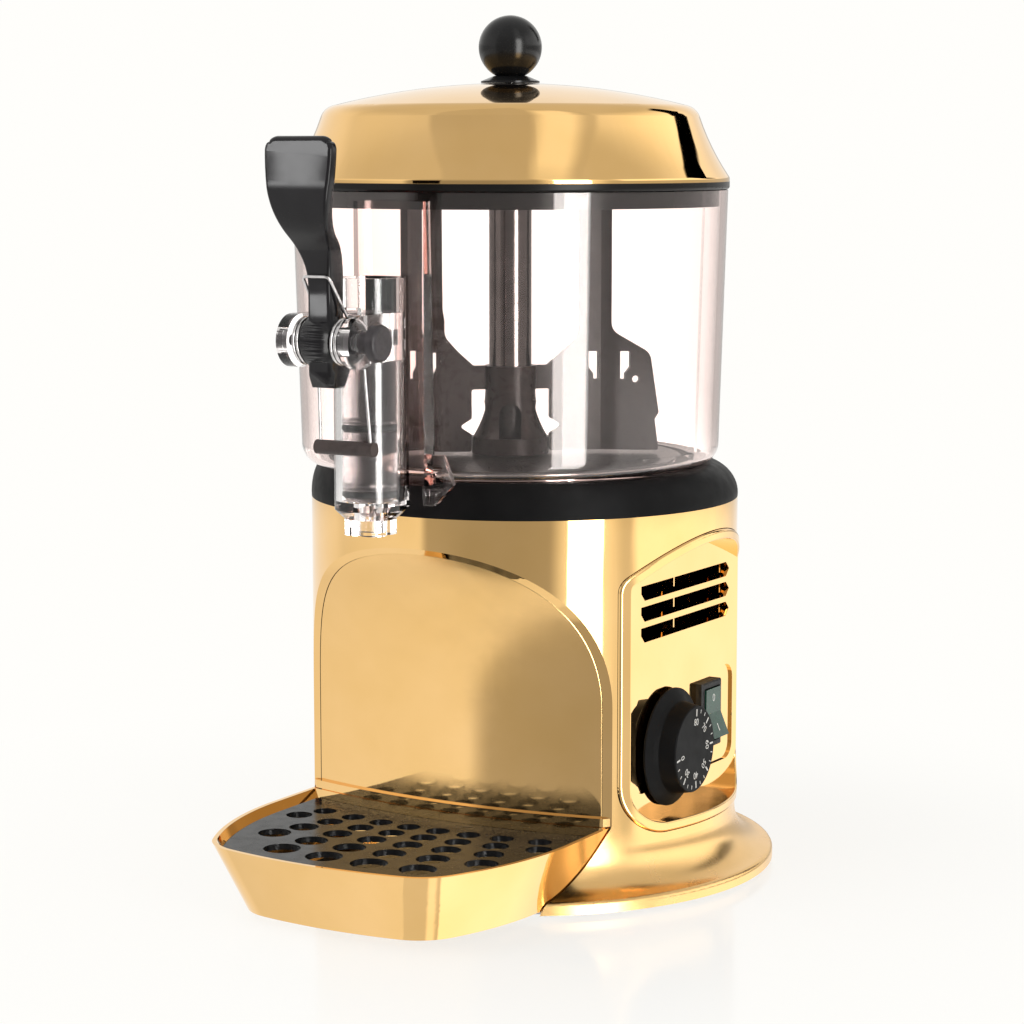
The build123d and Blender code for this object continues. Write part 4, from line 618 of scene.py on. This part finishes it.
# The lever's spring is one bright drawn wire. Two coils sit on the lever's bosses, their outer
# ends run down into the sleeve, and a bail joins them across the front of the lever.
pivot_y, pivot_z = -0.1812, 0.2802
wire_radius = 0.00075
wire_sides = 10
wire_bend, bend_steps = 0.0024, 6
wire_end = 0.0025
coil_radius, coil_pitch, coil_turns, coil_inner = 0.0105, 0.00205, 2, 0.0081
coil_steps = 28
bail_ahead, bail_rise = 0.0085, 0.0298
sleeve_y, sleeve_drop = -0.1662, 0.0506


def tangent_angle(away_y, away_z, upward):
    """The angle on the coil where a straight wire from a point beside the pivot meets it."""
    opening = math.acos(coil_radius / math.hypot(away_y, away_z))
    return math.atan2(away_z, away_y) + (opening if upward else -opening)


first_angle = tangent_angle(sleeve_y - pivot_y, -sleeve_drop, True)
last_angle = tangent_angle(-bail_ahead, bail_rise, False) + coil_turns * math.tau
coil_outer = coil_inner + coil_pitch * (last_angle - first_angle) / math.tau


def coil_point(angle):
    """A point of the right-hand coil and the wire's direction there."""
    x = coil_outer - coil_pitch * (angle - first_angle) / math.tau
    place = Vector((x, pivot_y + coil_radius * math.cos(angle), pivot_z + coil_radius * math.sin(angle)))
    way = Vector((-coil_pitch / math.tau, -coil_radius * math.sin(angle), coil_radius * math.cos(angle)))
    return place, way.normalized()


def bend(before, corner, after):
    """Points of a rounded corner."""
    start = corner + (before - corner).normalized() * wire_bend
    end = corner + (after - corner).normalized() * wire_bend
    points = []
    for step in range(bend_steps + 1):
        part = step / bend_steps
        points.append(start.lerp(corner, part).lerp(corner.lerp(end, part), part))
    return points


coil = [coil_point(first_angle + (last_angle - first_angle) * step / (coil_steps * coil_turns))
        for step in range(coil_steps * coil_turns + 1)]
start, way = coil[0]
low_corner = start - way * ((start.z - (pivot_z - sleeve_drop)) / way.z)
end, way = coil[-1]
high_corner = end + way * ((pivot_z + bail_rise - end.z) / way.z)
low_end = Vector((wire_end, low_corner.y, low_corner.z))
bail_middle = Vector((0, high_corner.y, high_corner.z))
right_half = [low_end, *bend(low_end, low_corner, start), *(place for place, way in coil),
              *bend(end, high_corner, bail_middle)]
left_half = [Vector((-point.x, point.y, point.z)) for point in right_half]
wire = left_half + right_half[::-1]

spring = bmesh.new()
rings = []
aside = None
for index, point in enumerate(wire):
    ahead = (wire[min(index + 1, len(wire) - 1)] - wire[max(index - 1, 0)]).normalized()
    if aside is None:
        aside = ahead.orthogonal()
    aside = (aside - ahead * aside.dot(ahead)).normalized()
    upright = ahead.cross(aside)
    rings.append([])
    for side in range(wire_sides):
        angle = math.tau * side / wire_sides
        offset = aside * math.cos(angle) + upright * math.sin(angle)
        rings[-1].append(spring.verts.new(point + offset * wire_radius))
for ring, following in zip(rings, rings[1:]):
    for side in range(wire_sides):
        beside = (side + 1) % wire_sides
        face = spring.faces.new((ring[side], ring[beside], following[beside], following[side]))
        face.smooth = True
spring.faces.new(rings[0])
spring.faces.new(rings[-1])
spring_steel = metal("spring_steel", blotch=0.004, dark=(0.55, 0.53, 0.53), light=(0.7, 0.68, 0.68),
                     smooth=0.12, rough=0.2)
spring_piece = piece_from(spring, "wound_spring", spring_steel, None)
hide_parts("tap_spring")
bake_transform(spring_piece)

# The lid is a pressed and plated dome. Its lower edge and the ring that drops into the bowl are painted
# black, as painted shade under the rim, and a black washer and ball are its handle, held by one screw from
# below.
rim_shade_low, rim_shade_high = 0.3510, 0.3514
rim_shade_black = (0.009, 0.0085, 0.008, 1.0)
rim_shade_dull, rim_shade_shine = 0.2, 0.15


def paint_shade_black(tree, skin, where, black, dulling):
    """Paints plating a duller black where the value is 1, as painted shade."""
    plating, painted_black, mixed = colour_mix(tree, where)
    tree.links.new(skin.inputs["Base Color"].links[0].from_socket, plating)
    painted_black.default_value = black
    tree.links.new(mixed, skin.inputs["Base Color"])
    tree.links.new(reckon(tree, "SUBTRACT", 1.0, where), skin.inputs["Metallic"])
    duller = reckon(tree, "MULTIPLY", where, dulling)
    tree.links.new(reckon(tree, "ADD", polish(tree), duller), skin.inputs["Roughness"])


lid_gold, tree, skin = plated("lid_gold")
# Below the rim's height the plating is painted a duller black: painted shade under the lid's rim.
rim_shade = smooth_step(tree, height_of(tree), rim_shade_low, rim_shade_high, 1.0, 0.0)
paint_shade_black(tree, skin, rim_shade, rim_shade_black, rim_shade_dull)
skin.inputs["Specular IOR Level"].default_value = rim_shade_shine
wear(lid_gold, "lid_shell")
black_gloss = moulded("black_gloss", blotch=0.02, dark=(0.0065, 0.0065, 0.007), light=(0.011, 0.011, 0.0115),
                      smooth=0.14, rough=0.24, shine=0.3)
wear(black_gloss, "lid_knob", "lid_washer")
wear(zinc_steel, "lid_screw")

# The drip tray slides in under the tap, plated like the drum, with its floor painted black as shade under
# the grid, and its black grid lies in it. Their mirror image shows only low on the wall behind them.
image_near, image_far, image_share = 0.05, 0.11, 0.2
floor_top, floor_level = 0.03, 0.5
floor_shade_black = (0.012, 0.011, 0.0105, 1.0)
floor_shade_dull = 0.3


def show_close(tree, skin, share=1.0):
    """Shows a share of the surface to mirrored rays from close by and lets all others of them pass."""
    path = tree.nodes.new("ShaderNodeLightPath")
    close = smooth_step(tree, path.outputs["Ray Length"], image_near, image_far, 1.0 - image_share, 0.0)
    let_by = add_node(tree, "ShaderNodeBsdfTransparent").outputs[0]
    mirrored = blend_shaders(tree, reckon(tree, "MULTIPLY", close, share), let_by, skin.outputs[0])
    tree.links.new(blend_shaders(tree, path.outputs["Is Glossy Ray"], skin.outputs[0], mirrored),
                   tree.nodes["Material Output"].inputs["Surface"])


tray_gold, tree, skin = plated("tray_gold")
outward = add_node(tree, "ShaderNodeSeparateXYZ")
tree.links.new(add_node(tree, "ShaderNodeTexCoord").outputs["Normal"], outward.inputs[0])
facing_up = reckon(tree, "GREATER_THAN", outward.outputs["Z"], floor_level)
# The tray's upward-facing floor is painted a duller black: painted shade under the grid.
floor = reckon(tree, "MULTIPLY", facing_up, reckon(tree, "LESS_THAN", height_of(tree), floor_top))
paint_shade_black(tree, skin, floor, floor_shade_black, floor_shade_dull)
show_close(tree, skin, floor)
wear(tray_gold, "drip_tray")
grid_dark, grid_light = (0.0065, 0.0065, 0.007), (0.012, 0.012, 0.0125)
grid_smooth, grid_rough, grid_shine = 0.2, 0.3, 0.1
grid_black, tree, skin = new_finish("grid_black")
tree.links.new(tint(tree, grain(tree, lever_blotch), grid_dark, grid_light), skin.inputs["Base Color"])
tree.links.new(spread(tree, grain(tree, lever_grain), grid_smooth, grid_rough), skin.inputs["Roughness"])
skin.inputs["Specular IOR Level"].default_value = grid_shine
show_close(tree, skin)
wear(grid_black, "drip_grid")
